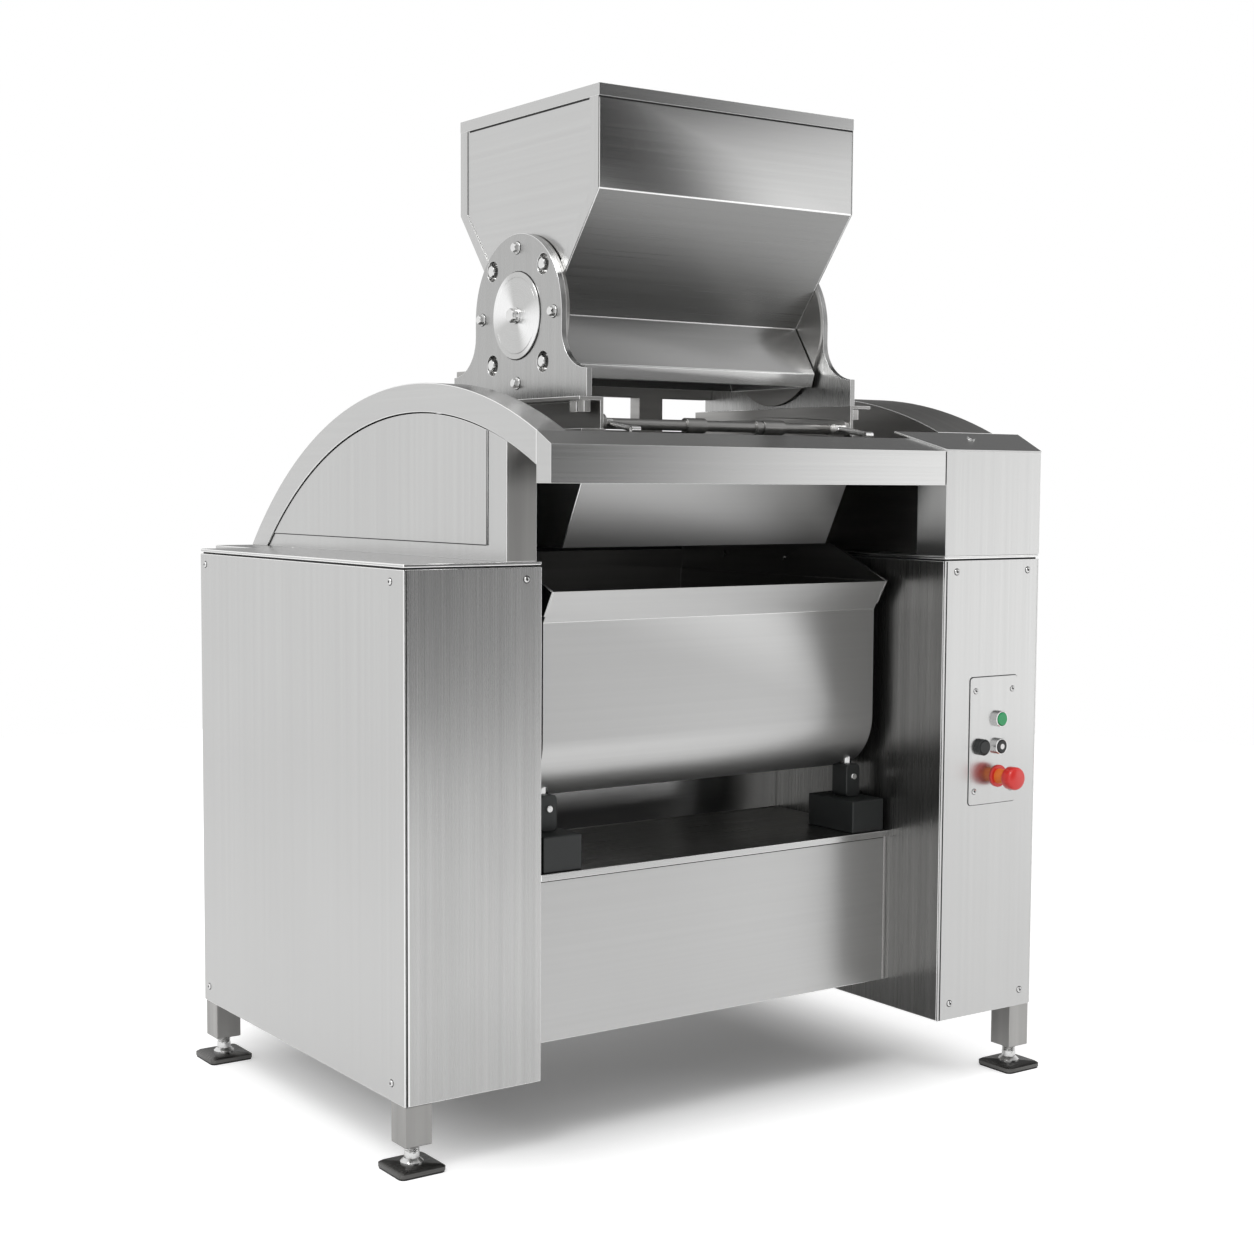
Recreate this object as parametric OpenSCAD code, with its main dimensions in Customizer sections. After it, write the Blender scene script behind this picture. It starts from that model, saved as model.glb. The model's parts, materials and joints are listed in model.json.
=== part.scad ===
/* [Overall] */
// Width over both columns
machine_w = 1200; // [1120:10:1400]
// Depth from the right column's front to the back of the rear housings
machine_d = 1052; // [1020:4:1160]

/* [Columns] */
// Width of the left column
left_column_w = 242; // [230:2:270]
// Width of the right column
right_column_w = 228; // [216:2:250]
// Depth of the left column
column_d = 756; // [740:4:800]
// Height of the column panels
column_h = 810; // [790:5:860]
// Distance from the floor to the columns
floor_gap = 106; // [90:2:130]
// How far the right column stands in front of the left one
right_forward = 130; // [100:5:140]
// How much shorter the right column's skirt is
right_skirt_lift = 12; // [0:1:20]
// Thickness of the panels
sheet_t = 2.5; // [1.5:0.5:3]
// Side of the square tube in the frames
tube_w = 40; // [35:1:45]
// Wall of the square tube
tube_wall = 3; // [2:0.5:4]
// Thickness of the lids
lid_t = 6; // [4:0.5:8]
// Height of the seal under a lid
lid_seal_h = 2.5; // [2:0.5:4]

/* [Feet] */
// Side of a leg
leg_w = 46; // [40:1:50]
// Length of a leg below the column
leg_drop = 60; // [50:1:70]
// Side of a foot pad
pad_w = 80; // [70:1:95]
// Thickness of a foot pad
pad_t = 12; // [8:1:15]
// Diameter of a foot spindle
spindle_d = 24; // [16:1:28]

/* [Arches] */
// Outer radius of the arches
arch_r = 873; // [860:1:890]
// Height of the arch crown above the lids
arch_rise = 281.5; // [270:0.5:290]
// Distance of the arch centre behind the machine's front
arch_back = 410; // [400:1:420]
// Depth of the left arch band along its radius
band_h = 47; // [40:1:55]
// Width of the left arch band
band_w = 52; // [46:1:60]
// Distance of the left arch band from the left face
band_inset = 174; // [168:1:180]
// Width of the right arch cover
right_arch_w = 132; // [110:1:150]
// Distance of the right arch cover from the right column's inner face
right_arch_inset = 46; // [30:1:60]

/* [Beam] */
// Depth of the front beam
beam_d = 40; // [35:1:45]
// Height of the beam's front face
beam_h = 58; // [50:1:66]
// Rise of the beam's sloped top
beam_rise = 21; // [15:1:26]

/* [Hopper] */
// Distance of each end of the hopper from the machine's side face
hopper_in = 341; // [330:1:360]
// Depth of the hopper's top
hopper_d = 422; // [400:2:430]
// Height of the straight top part
hopper_top_h = 160; // [130:2:180]
// Height from the waist to the straight part
hopper_slope_h = 184; // [170:2:200]
// Depth of the waist
waist_d = 134; // [120:2:150]
// Depth of the belly below the waist
belly_d = 242; // [200:2:250]
// Height from the waist down to the belly
belly_drop = 81; // [70:1:90]
// Depth of the outlet
outlet_d = 226; // [190:2:236]
// Height of the lip below the belly
outlet_h = 23; // [18:1:28]
// Width of the rim hem
rim_h = 19; // [14:1:24]
// Width of the edge strips on the hopper's ends
edge_strip_w = 22; // [16:1:28]

/* [Trunnions] */
// Height of the trunnion axis above the saddles
trunnion_up = 138; // [132:1:150]
// Radius of the plates' round heads
head_r = 133; // [125:1:140]
// Thickness of the trunnion plates
trunnion_t = 10; // [8:1:12]
// Width of the plates' feet
plate_foot_w = 411; // [390:1:430]
// Diameter of the round cap in each plate
cap_d = 142; // [120:1:150]
// Radius of the bolt circle
bolt_circle_r = 110; // [104:1:115]
// Diameter of the large holes
large_hole_d = 34; // [28:1:38]
// Height of the saddles
saddle_h = 56; // [50:1:64]
// Width of the saddles
saddle_w = 45; // [40:1:55]

/* [Gate] */
// Diameter of the gate shaft
gate_shaft_d = 24; // [20:1:30]
// Gap between the gate and the throat
gate_gap = 2; // [1.5:0.5:4]
// Length of the gate handle
gate_handle_l = 150; // [120:5:180]

/* [Trough] */
// Mean gap between the trough's ends and the columns
trough_side = 20; // [18:1:45]
// Height of the trough's front wall up to its fold
trough_front_h = 287; // [270:1:300]
// Corner radius of the trough's outer shell
trough_corner_r = 100; // [80:1:110]
// Height of the leaning front lip
lip_h = 50; // [40:1:60]
// How far the lip leans forward
lip_lean = 30; // [20:1:36]
// Height of the rear wall above the front rim
rear_rise = 38; // [30:1:44]
// Height of the side cheeks above the front rim
cheek_rise = 64; // [56:1:70]
// Thickness of the trough's plates
trough_t = 3; // [2:0.5:4]

/* [Rotors] */
// Radius swept by the rotors
rotor_r = 133; // [120:1:135]
// Gap between the swept circle and the liner
rotor_gap = 6; // [4:0.5:12]
// Diameter of the rotor shafts
shaft_d = 50; // [40:1:56]
// Radial width of a rotor bar
rotor_bar_w = 46; // [36:1:52]
// Thickness of a rotor bar
rotor_bar_t = 38; // [28:1:44]
// Tooth size of the timing gears
gear_module = 8; // [7.6:0.1:8.4]
// Teeth on the front rotor's gear
front_teeth = 28; // [26:1:29]
// Teeth on the rear rotor's gear
rear_teeth = 42; // [40:1:43]
// Width of the timing gears
gear_w = 36; // [30:1:40]

/* [Drive] */
// Diameter of the large belt wheel
wheel_d = 279; // [270:3:291]
// Diameter of the small belt pulley
pulley_d = 93; // [90:1:97]
// Width of the belt
belt_w = 30; // [24:1:34]
// Thickness of the belt
belt_t = 6; // [5:0.5:7]
// Height of the drive pulley above the column's bottom
drive_up = 164; // [155:1:180]

/* [Shelf] */
// Height of the trough's bottom above the shelf
shelf_below = 106; // [98:1:130]
// Height of the shelf's front flange
shelf_flange_h = 11; // [8:1:14]
// Height of the apron below the flange
apron_h = 258; // [230:2:270]
// Depth of the shelf up to its back panel
shelf_d = 315; // [290:1:330]
// Side of a black rest block
block_w = 72; // [60:1:76]
// Depth of a black rest block
block_d = 120; // [100:1:130]
// Height of a black rest block
block_h = 57; // [50:1:62]

/* [Controls] */
// Width of the control plate
control_w = 114; // [108:1:124]
// Height of the control plate
control_h = 223; // [210:1:240]
// Height of the control plate's lower edge above the column's bottom
control_up = 384; // [350:2:420]
// Diameter of a button's ring
ring_d = 30; // [28:0.5:32]
// Diameter of a button's cap
button_d = 23; // [20:0.5:24]
// Diameter of the stop mushroom
mushroom_d = 40; // [36:0.5:42]

/* [Hidden] */
$fn = 48;
eps = 1;
fit_gap = 0.05;
control_t = 2;
halt_neck_h = 22;
halt_gap = 6;
head_t = 20;
head_out = control_t + halt_neck_h + halt_gap + head_t;
run_gap = 0.4;
panel_gap = 1;

// Places of the machine's planes
x_left = -machine_w / 2;
x_right = machine_w / 2;
y_front = (head_out - machine_d) / 2;
y_rear = y_front + machine_d;
x_left_in = x_left + left_column_w;
x_right_in = x_right - right_column_w;
y_left = y_front + right_forward;
y_back = y_left + column_d;
z_skirt = floor_gap;
z_panel = floor_gap + column_h;
z_lid = z_panel + lid_seal_h + lid_t;
gap_w = x_right_in - x_left_in;
gap_x = (x_left_in + x_right_in) / 2;

// Places of the arches
arch_y = y_front + arch_back;
arch_z = z_lid + arch_rise - arch_r;
function arch_top(y, r) = arch_z + sqrt(r * r - (y - arch_y) * (y - arch_y));
function arch_end(z, r) = arch_y + sqrt(r * r - (z - arch_z) * (z - arch_z));
x_band = x_left + band_inset;
beam_y = y_front + beam_d;
z_beam_top = arch_top(beam_y, arch_r);
z_beam_front = z_beam_top - beam_rise;
z_beam = z_beam_front - beam_h;
z_deck = z_beam_top;
deck_t = 6;
guard_gap = 2;
guard_r = arch_r - band_h - guard_gap;
guard_w = 54;
guard_in = 4;
guard_x = x_band + guard_in;
guard_panel_t = 1.5;
guard_fold_y = 57;
guard_fold_z = 24;

// Places of the hopper and what carries it
hopper_x = 0;
hopper_back = 205;
hopper_y = y_left + hopper_back;
hopper_w = machine_w - 2 * hopper_in;
z_saddle = z_deck + saddle_h;
z_trunnion = z_saddle + trunnion_up;
z_hopper = z_trunnion + hopper_slope_h + hopper_top_h;
z_bend = z_trunnion + hopper_slope_h;
z_belly = z_trunnion - belly_drop;
z_outlet = z_belly - outlet_h;
strip_t = 2;
flange_t = 6;
x_hopper = hopper_w / 2;
x_strip = x_hopper + strip_t;
x_flange = x_strip + flange_t;
x_plate = x_flange + trunnion_t;
saddle_t = 6;
saddle_over = 15;
cap_t = 3;
hex_s = 20;
hex_h = 8;
washer_d = 26;
washer_t = 2;

// Places of the trough and rotors
liner_t = 3;
liner_lift = 3;
liner_r = rotor_r + rotor_gap + liner_t;
rotor_pitch = gear_module * (front_teeth + rear_teeth) / 2;
trough_w = gap_w - 2 * trough_side;
trough_d = rotor_pitch + 2 * (liner_r + trough_t);
trough_shift = 5;
trough_x = gap_x - trough_shift;
trough_clear = 20;
trough_y = y_left + trough_clear;
trough_back = trough_y + trough_d;
rim_below = 39;
z_rim = z_panel - rim_below;
z_fold = z_rim - lip_h;
z_trough = z_fold - trough_front_h;
rotor_y = trough_y + trough_d / 2;
z_rotor = z_trough + trough_t + liner_lift + liner_r;
y_front_rotor = rotor_y - rotor_pitch / 2;
y_rear_rotor = rotor_y + rotor_pitch / 2;
x_trough_0 = trough_x - trough_w / 2;
x_trough_1 = trough_x + trough_w / 2;
ridge_cut = 30;
rotor_end_gap = 6;
hub_d = 84;
hub_l = 26;

// Places of the discharge door in the rear wall
door_w = 300;
door_h = 130;
door_lap = 12;
door_t = 4;
door_up = 20;
z_door = z_rotor + door_up;
door_pin_d = 10;
door_pin_out = 9;
knuckle_l = 40;

// Places of the chute
chute_over_x = 17;
chute_w = hopper_w + 2 * chute_over_x;
chute_over_y = 22;
chute_top_d = 394;
chute_low_in = 70;
chute_low_d = 260;
chute_top_front = y_left - chute_over_y;
chute_top_back = chute_top_front + chute_top_d;
chute_low_front = y_left + chute_low_in;
chute_low_back = chute_low_front + chute_low_d;
z_chute = z_rim + cheek_rise;
chute_flange = 18;

// Places of the shelf
z_shelf = z_trough - shelf_below;
shelf_t = 3;
block_side = 8;
block_front = 6;
cross_w = 50;

// Places of the drive
gear_in = 150;
wheel_in = 80;
x_gear = x_left + gear_in;
x_wheel = x_left + wheel_in;
z_drive = z_skirt + drive_up;
shaft_out = 20;
shaft_right = 50;

// Places of the controls
control_in = 64;
control_x = x_right_in + control_in;
z_control = z_skirt + control_up;
start_shares = [0.605, 0.664];
inch_shares = [0.237, 0.453];
stop_shares = [0.605, 0.448];
halt_shares = [0.614, 0.211];
ring_h = 5;
button_out = 8;

// A box given by its low and high corners
module box(low, high) {
    translate(low) cube(high - low);
}

// A round bar along X, Y or Z from a start point
module rod_x(at, length, d) {
    translate(at) rotate([0, 90, 0]) cylinder(h = length, d = d);
}
module rod_y(at, length, d) {
    translate(at) rotate([-90, 0, 0]) cylinder(h = length, d = d);
}
module rod_z(at, length, d) {
    translate(at) cylinder(h = length, d = d);
}

// A round bar between two points
module rod_between(p, q, d) {
    run = q - p;
    length = norm(run);
    tilt = acos(run.z / length);
    translate(p) rotate([0, tilt, atan2(run.y, run.x)]) cylinder(h = length, d = d);
}

// A hexagonal head or nut along Z, measured across its flats
module hex_head(flats, height) {
    cylinder(h = height, d = flats / cos(30), $fn = 6);
}

// A shape drawn in Y and Z, carried along X from x0 to x1
module along_x(x0, x1) {
    translate([x0, 0, 0]) rotate([90, 0, 90]) linear_extrude(x1 - x0) children();
}

// The children and their mirror image across the middle plane
module both_sides() {
    children();
    mirror([1, 0, 0]) children();
}

// A square tube along each axis, given by the low corner of its outside
module tube_x(at, length) {
    difference() {
        translate(at) cube([length, tube_w, tube_w]);
        translate(at + [-eps, tube_wall, tube_wall])
            cube([length + 2 * eps, tube_w - 2 * tube_wall, tube_w - 2 * tube_wall]);
    }
}
module tube_y(at, length) {
    difference() {
        translate(at) cube([tube_w, length, tube_w]);
        translate(at + [tube_wall, -eps, tube_wall])
            cube([tube_w - 2 * tube_wall, length + 2 * eps, tube_w - 2 * tube_wall]);
    }
}
module tube_z(at, length, w = tube_w) {
    difference() {
        translate(at) cube([w, w, length]);
        translate(at + [tube_wall, tube_wall, -eps])
            cube([w - 2 * tube_wall, w - 2 * tube_wall, length + 2 * eps]);
    }
}

// The places of the four legs: X and Y of the low corner, and the height of the top
leg_in = 2;
legs = [
    [x_left + leg_in, y_left + leg_in, z_skirt],
    [x_left + leg_in, y_back - leg_in - leg_w, z_skirt],
    [x_right - leg_in - leg_w, y_front + leg_in, z_skirt + right_skirt_lift],
    [x_right - leg_in - leg_w, y_back - leg_in - leg_w, z_skirt + right_skirt_lift]];
z_leg = z_skirt - leg_drop;
leg_cap_t = 4;

module leg(at) {
    tube_z([at.x, at.y, z_leg], at.z - z_leg, leg_w);
    box([at.x, at.y, z_leg - leg_cap_t], [at.x + leg_w, at.y + leg_w, z_leg]);
}

// A welded frame of posts and rails between two corners, with a floor plate on its lower rails
pan_t = 3;
module frame(x0, x1, y0, y1, z0) {
    posts_x = [x0, x1 - tube_w];
    posts_y = [y0, y1 - tube_w];
    for (x = posts_x, y = posts_y) tube_z([x, y, z0 + tube_w], z_panel - z0 - 2 * tube_w);
    for (y = posts_y, z = [z0, z_panel - tube_w]) tube_x([x0, y, z], x1 - x0);
    for (x = posts_x, z = [z0, z_panel - tube_w])
        tube_y([x, y0 + tube_w, z], y1 - y0 - 2 * tube_w);
    difference() {
        box([x0, y0, z0 + tube_w], [x1, y1, z0 + tube_w + pan_t]);
        for (x = posts_x, y = posts_y)
            box([x - eps, y - eps, z0],
                [x + tube_w + eps, y + tube_w + eps, z0 + tube_w + pan_t + eps]);
    }
}
module column_frames() {
    color("gray") {
        frame(x_left + sheet_t, x_left_in - sheet_t, y_left + sheet_t, y_back - sheet_t, z_skirt);
        frame(x_right_in + sheet_t, x_right - sheet_t, y_front + sheet_t, y_back - sheet_t,
            z_skirt + right_skirt_lift);
    }
}
module legs() {
    color("gray") for (at = legs) leg(at);
}

// Threaded spindles under the legs, each with its lock nut, and their pads
nut_flats = 36;
nut_h = 10;
module foot_spindles() {
    color("silver") for (at = legs) translate([at.x + leg_w / 2, at.y + leg_w / 2, 0]) {
        rod_z([0, 0, pad_t], z_leg - leg_cap_t - pad_t, spindle_d);
        translate([0, 0, z_leg - leg_cap_t - nut_h]) hex_head(nut_flats, nut_h);
        rod_z([0, 0, pad_t], nut_h / 2, nut_flats);
    }
}
pad_r = 8;
module foot_pads() {
    color("silver") for (at = legs) translate([at.x + leg_w / 2, at.y + leg_w / 2, 0])
        linear_extrude(pad_t) {
            square([pad_w, pad_w - 2 * pad_r], center = true);
            square([pad_w - 2 * pad_r, pad_w], center = true);
            for (x = [-1, 1], y = [-1, 1])
                translate([x, y] * (pad_w / 2 - pad_r)) circle(pad_r);
        }
}

// Column panels, each a plate with a narrow seam at its corners
module left_side_panel() {
    color("silver") box([x_left, y_left, z_skirt], [x_left + sheet_t, y_back, z_panel]);
}
module left_front_panel() {
    color("silver") box([x_left + sheet_t + panel_gap, y_left, z_skirt],
        [x_left_in, y_left + sheet_t, z_panel]);
}
shaft_hole_gap = 6;
shaft_hole_d = shaft_d + 2 * shaft_hole_gap;
module shaft_holes(x0, x1, d) {
    for (y = [y_front_rotor, y_rear_rotor]) rod_x([x0, y, z_rotor], x1 - x0, d);
}
module left_inner_panel() {
    color("silver") difference() {
        box([x_left_in - sheet_t, y_left + sheet_t + panel_gap, z_skirt],
            [x_left_in, y_back - sheet_t - panel_gap, z_panel]);
        shaft_holes(x_left_in - sheet_t - eps, x_left_in + eps, shaft_hole_d);
    }
}
module right_side_panel() {
    color("silver") box([x_right - sheet_t, y_front, z_skirt + right_skirt_lift],
        [x_right, y_back, z_panel]);
}
module right_front_panel() {
    color("silver") difference() {
        box([x_right_in, y_front, z_skirt + right_skirt_lift],
            [x_right - sheet_t - panel_gap, y_front + sheet_t, z_panel]);
        button_holes(y_front - eps, y_front + sheet_t + eps);
    }
}
module right_inner_panel() {
    color("silver") difference() {
        box([x_right_in, y_front + sheet_t + panel_gap, z_skirt + right_skirt_lift],
            [x_right_in + sheet_t, y_back - sheet_t - panel_gap, z_panel]);
        shaft_holes(x_right_in - eps, x_right_in + sheet_t + eps, shaft_hole_d);
    }
}
module rear_panels() {
    color("silver") {
        box([x_left + sheet_t + panel_gap, y_back - sheet_t, z_skirt], [x_left_in, y_back, z_panel]);
        box([x_right_in, y_back - sheet_t, z_skirt + right_skirt_lift],
            [x_right - sheet_t - panel_gap, y_back, z_panel]);
    }
}

// Narrow housings behind the columns that carry the rear ends of the arches
housing_in = 100;
right_housing_in = 30;
module housing(x0, x1, z0) {
    difference() {
        box([x0, y_back, z0], [x1, y_rear, z_lid]);
        box([x0 + sheet_t, y_back - eps, z0 + sheet_t],
            [x1 - sheet_t, y_rear - sheet_t, z_lid - sheet_t]);
    }
}
module rear_housings() {
    color("silver") {
        housing(x_left + housing_in, x_left_in, z_skirt);
        housing(x_right_in + right_housing_in, x_right - right_housing_in, z_skirt + right_skirt_lift);
    }
}

// Lids on their recessed seals
seal_in = 4;
module lid_seals() {
    color("dimgray") {
        box([x_left + seal_in, y_left + seal_in, z_panel],
            [x_left_in - seal_in, y_back - seal_in, z_panel + lid_seal_h]);
        box([x_right_in + seal_in, y_front + seal_in, z_panel],
            [x_right - seal_in, y_back - seal_in, z_panel + lid_seal_h]);
    }
}
module lids() {
    color("silver") {
        box([x_left, y_left, z_panel + lid_seal_h], [x_left_in, y_back, z_lid]);
        box([x_right_in, y_front, z_panel + lid_seal_h], [x_right, y_back, z_lid]);
    }
}

// Panel screws
screw_d = 10;
screw_h = 2.5;
screw_in_x = 28;
screw_in_y = 42;
screw_in_back = 22;
screw_rise = 28;
screw_drop = 19;
module panel_screws() {
    z_low = z_skirt + screw_rise;
    z_high = z_panel - screw_drop;
    color("silver") {
        for (y = [y_left + screw_in_y, y_back - screw_in_back], z = [z_low, z_high])
            rod_x([x_left - screw_h, y, z], screw_h, screw_d);
        rod_y([x_left_in - screw_in_x, y_left - screw_h, z_high], screw_h, screw_d);
        for (x = [x_right_in + screw_in_x, x_right - screw_in_x],
            z = [z_low + right_skirt_lift, z_high])
            rod_y([x, y_front - screw_h, z], screw_h, screw_d);
        for (y = [y_front + screw_in_y, y_back - screw_in_back], z = [z_low + right_skirt_lift, z_high])
            rod_x([x_right, y, z], screw_h, screw_d);
    }
}

// The half-moon guard that stands on the left lid under the arch
module guard_profile(inset) {
    intersection() {
        translate([arch_y, arch_z]) circle(guard_r - inset, $fn = 180);
        translate([y_left + inset, z_lid - (inset > 0 ? eps : 0)])
            square([column_d * 2, arch_rise * 2]);
    }
}
module left_guard_box() {
    color("silver") {
        difference() {
            along_x(guard_x, guard_x + guard_w) guard_profile(0);
            along_x(guard_x + sheet_t, guard_x + guard_w - sheet_t) guard_profile(sheet_t);
        }
        along_x(guard_x - guard_panel_t, guard_x) intersection() {
            guard_profile(0);
            translate([y_left + guard_fold_y, z_lid + guard_fold_z])
                square([column_d * 2, arch_rise * 2]);
        }
    }
}

// The left arch band, a curved channel open towards the machine's middle
module arch_ring(outer, inner) {
    intersection() {
        translate([arch_y, arch_z]) difference() {
            circle(outer, $fn = 180);
            circle(inner, $fn = 180);
        }
        translate([beam_y, z_lid]) square([machine_d, arch_rise + band_h]);
    }
}
module left_arch_band() {
    color("silver") difference() {
        along_x(x_band, x_band + band_w) arch_ring(arch_r, arch_r - band_h);
        along_x(x_band + sheet_t, x_band + band_w + eps)
            arch_ring(arch_r - sheet_t, arch_r - band_h + sheet_t);
    }
}

// The front beam with its sloped top, closed at the left end
module beam_profile(inset) {
    polygon([[y_front + inset, z_beam + inset], [y_front + inset, z_beam_front - inset],
        [beam_y - inset, z_beam_top - inset], [beam_y - inset, z_beam + inset]]);
}
module front_beam() {
    color("silver") difference() {
        along_x(x_band, x_right_in) beam_profile(0);
        along_x(x_band + sheet_t, x_right_in + eps) beam_profile(sheet_t);
    }
}

// The box on the right column, with a sloped cover plate that laps over the beam
box_d = 70;
slope_d = 58;
cover_t = 3;
cover_lap = 69;
slope_angle = atan2(beam_rise, beam_d);
z_slope_1 = z_beam_front + slope_d * beam_rise / beam_d;
plug_d = 14;
plug_h = 3;
plug_share_x = 0.4;
plug_share_y = 0.65;
module upper_box_profile(inset, low) {
    polygon([[y_front + inset, low], [y_front + inset, z_beam_front - inset],
        [y_front + slope_d, z_slope_1 - inset],
        [y_front + box_d - inset, z_slope_1 - inset],
        [y_front + box_d - inset, low]]);
}
module right_upper_box() {
    slope_l = slope_d / cos(slope_angle);
    color("silver") {
        difference() {
            along_x(x_right_in, x_right) upper_box_profile(0, z_lid);
            along_x(x_right_in + sheet_t, x_right - sheet_t) upper_box_profile(sheet_t, z_lid - eps);
        }
        translate([0, y_front, z_beam_front]) rotate([slope_angle, 0, 0]) {
            linear_extrude(cover_t) polygon([[x_right_in, 0], [x_right, 0], [x_right, slope_l],
                [x_right_in - cover_lap, slope_l]]);
            translate([x_right_in + right_column_w * plug_share_x, slope_l * plug_share_y, cover_t])
                cylinder(h = plug_h, d = plug_d);
        }
    }
}

// The right arch, a closed half-moon cover
x_cover = x_right_in + right_arch_inset;
module cover_profile(inset) {
    intersection() {
        translate([arch_y, arch_z]) circle(arch_r - inset, $fn = 180);
        translate([y_front + box_d + inset, z_lid - (inset > 0 ? eps : 0)])
            square([machine_d, arch_rise * 2]);
    }
}
module right_arch_cover() {
    color("gray") difference() {
        along_x(x_cover, x_cover + right_arch_w) cover_profile(0);
        along_x(x_cover + sheet_t, x_cover + right_arch_w - sheet_t) cover_profile(sheet_t);
    }
}

// The deck that carries the hopper, with its feed opening, and the panel under its rear edge
deck_x0 = guard_x + guard_w;
deck_over = 14;
deck_rear_y = trough_back + deck_over;
opening_in = 7;
opening_w = hopper_w - 2 * opening_in;
module top_deck() {
    color("gray") difference() {
        box([deck_x0, beam_y, z_deck - deck_t], [x_cover, deck_rear_y, z_deck]);
        box([x_right_in, beam_y - eps, z_deck - deck_t - eps],
            [x_cover + eps, y_front + box_d, z_deck + eps]);
        box([hopper_x - opening_w / 2, chute_top_front, z_deck - deck_t - eps],
            [hopper_x + opening_w / 2, chute_top_back, z_deck + eps]);
    }
}
module rear_upper_panel() {
    color("gray") box([deck_x0, deck_rear_y - sheet_t, z_lid],
        [x_cover, deck_rear_y, z_deck - deck_t - fit_gap]);
}

// The hopper's outline seen from the end, drawn in by set amounts at its top and waist
hopper_t = 3;
module hopper_profile(top_in, waist_in) {
    right = [[hopper_d / 2 - top_in, z_hopper], [hopper_d / 2 - top_in, z_bend],
        [waist_d / 2 - waist_in, z_trunnion], [belly_d / 2 - waist_in, z_belly],
        [outlet_d / 2 - waist_in, z_outlet]];
    left = [for (i = [len(right) - 1:-1:0]) [-right[i].x, right[i].y]];
    translate([hopper_y, 0]) polygon(concat(right, left));
}
module gate_bore(x0, x1, gap) {
    rod_x([x0, hopper_y, z_trunnion], x1 - x0, gate_shaft_d + 2 * gap);
}
hole_gap = 1;
module hopper_shell() {
    color("silver") difference() {
        along_x(-x_hopper, x_hopper) hopper_profile(0, 0);
        along_x(-x_hopper + hopper_t, x_hopper - hopper_t) hopper_profile(hopper_t, hopper_t);
        box([-x_hopper + hopper_t, hopper_y - hopper_d / 2 + hopper_t, z_hopper - eps],
            [x_hopper - hopper_t, hopper_y + hopper_d / 2 - hopper_t, z_hopper + eps]);
        box([-x_hopper + hopper_t, hopper_y - outlet_d / 2 + hopper_t, z_outlet - eps],
            [x_hopper - hopper_t, hopper_y + outlet_d / 2 - hopper_t, z_outlet + eps]);
        gate_bore(-x_hopper - eps, x_hopper + eps, hole_gap);
    }
}

// The hem round the hopper's rim
hem_t = 1.5;
module hopper_rim() {
    color("silver") difference() {
        box([-x_hopper - hem_t, hopper_y - hopper_d / 2 - hem_t, z_hopper - rim_h],
            [x_hopper + hem_t, hopper_y + hopper_d / 2 + hem_t, z_hopper]);
        box([-x_hopper, hopper_y - hopper_d / 2, z_hopper - rim_h - eps],
            [x_hopper, hopper_y + hopper_d / 2, z_hopper + eps]);
    }
}

// Strips along the slanting edges of the hopper's ends
slope_strip_share = 1.27;
module hopper_edge_strips() {
    color("silver") both_sides() intersection() {
        along_x(x_hopper, x_strip) difference() {
            hopper_profile(0, 0);
            hopper_profile(edge_strip_w, edge_strip_w * slope_strip_share);
        }
        box([x_hopper - eps, hopper_y - hopper_d, z_trunnion],
            [x_strip + eps, hopper_y + hopper_d, z_hopper - rim_h]);
    }
}

// Channels on the deck that carry the trunnion plates
saddle_toe = 5;
saddle_heel = 25;
saddle_under = 6;
saddle_x = x_strip - saddle_under;
saddle_bolt_l = 18;
saddle_bolt_in = 22;
module saddle() {
    y0 = hopper_y - plate_foot_w / 2 - saddle_over;
    y1 = hopper_y + plate_foot_w / 2 + saddle_over;
    box([saddle_x, y0, z_deck + saddle_t], [saddle_x + saddle_t, y1, z_saddle - saddle_t]);
    box([saddle_x, y0, z_saddle - saddle_t], [saddle_x + saddle_w, y1, z_saddle]);
    box([saddle_x, y0 - saddle_toe, z_deck],
        [saddle_x + saddle_w, y1 + saddle_heel, z_deck + saddle_t]);
    for (y = [y0 + saddle_bolt_in, y0 + 2 * saddle_bolt_in])
        translate([saddle_x + saddle_w / 2, y, z_saddle - saddle_t - saddle_bolt_l])
            hex_head(hex_s, saddle_bolt_l);
}
module saddles() {
    color("silver") both_sides() saddle();
}

// The trunnion plates, a round head that flares in hollow curves to a wide foot
neck_up = 110;
foot_up = 45;
flare_steps = 12;
module trunnion_profile() {
    flare = (plate_foot_w / 2 - head_r);
    rise = neck_up - foot_up;
    right = [for (i = [0:flare_steps]) let (a = 90 * i / flare_steps)
        [head_r + flare * (1 - cos(a)), z_saddle + neck_up - rise * sin(a)]];
    left = [for (i = [flare_steps:-1:0]) [-right[i].x, right[i].y]];
    translate([hopper_y, 0]) {
        polygon(concat(right, [[plate_foot_w / 2, z_saddle], [-plate_foot_w / 2, z_saddle]], left));
        translate([-head_r, z_saddle + neck_up - eps])
            square([2 * head_r, trunnion_up - neck_up + eps]);
        translate([0, z_trunnion]) circle(head_r);
    }
}
module ring_places(angles) {
    for (a = angles) translate([0, hopper_y, z_trunnion])
        translate(bolt_circle_r * [0, cos(a), sin(a)]) rotate([0, 90, 0]) children();
}
straight_angles = [0, 90, 180, 270];
slanted_angles = [45, 135, 225, 315];
module trunnion_plates() {
    color("silver") both_sides() difference() {
        along_x(x_flange, x_plate) trunnion_profile();
        translate([x_flange - eps, 0, 0]) ring_places(slanted_angles)
            cylinder(h = trunnion_t + 2 * eps, d = large_hole_d);
        gate_bore(x_flange - eps, x_plate + eps, fit_gap);
    }
}
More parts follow.
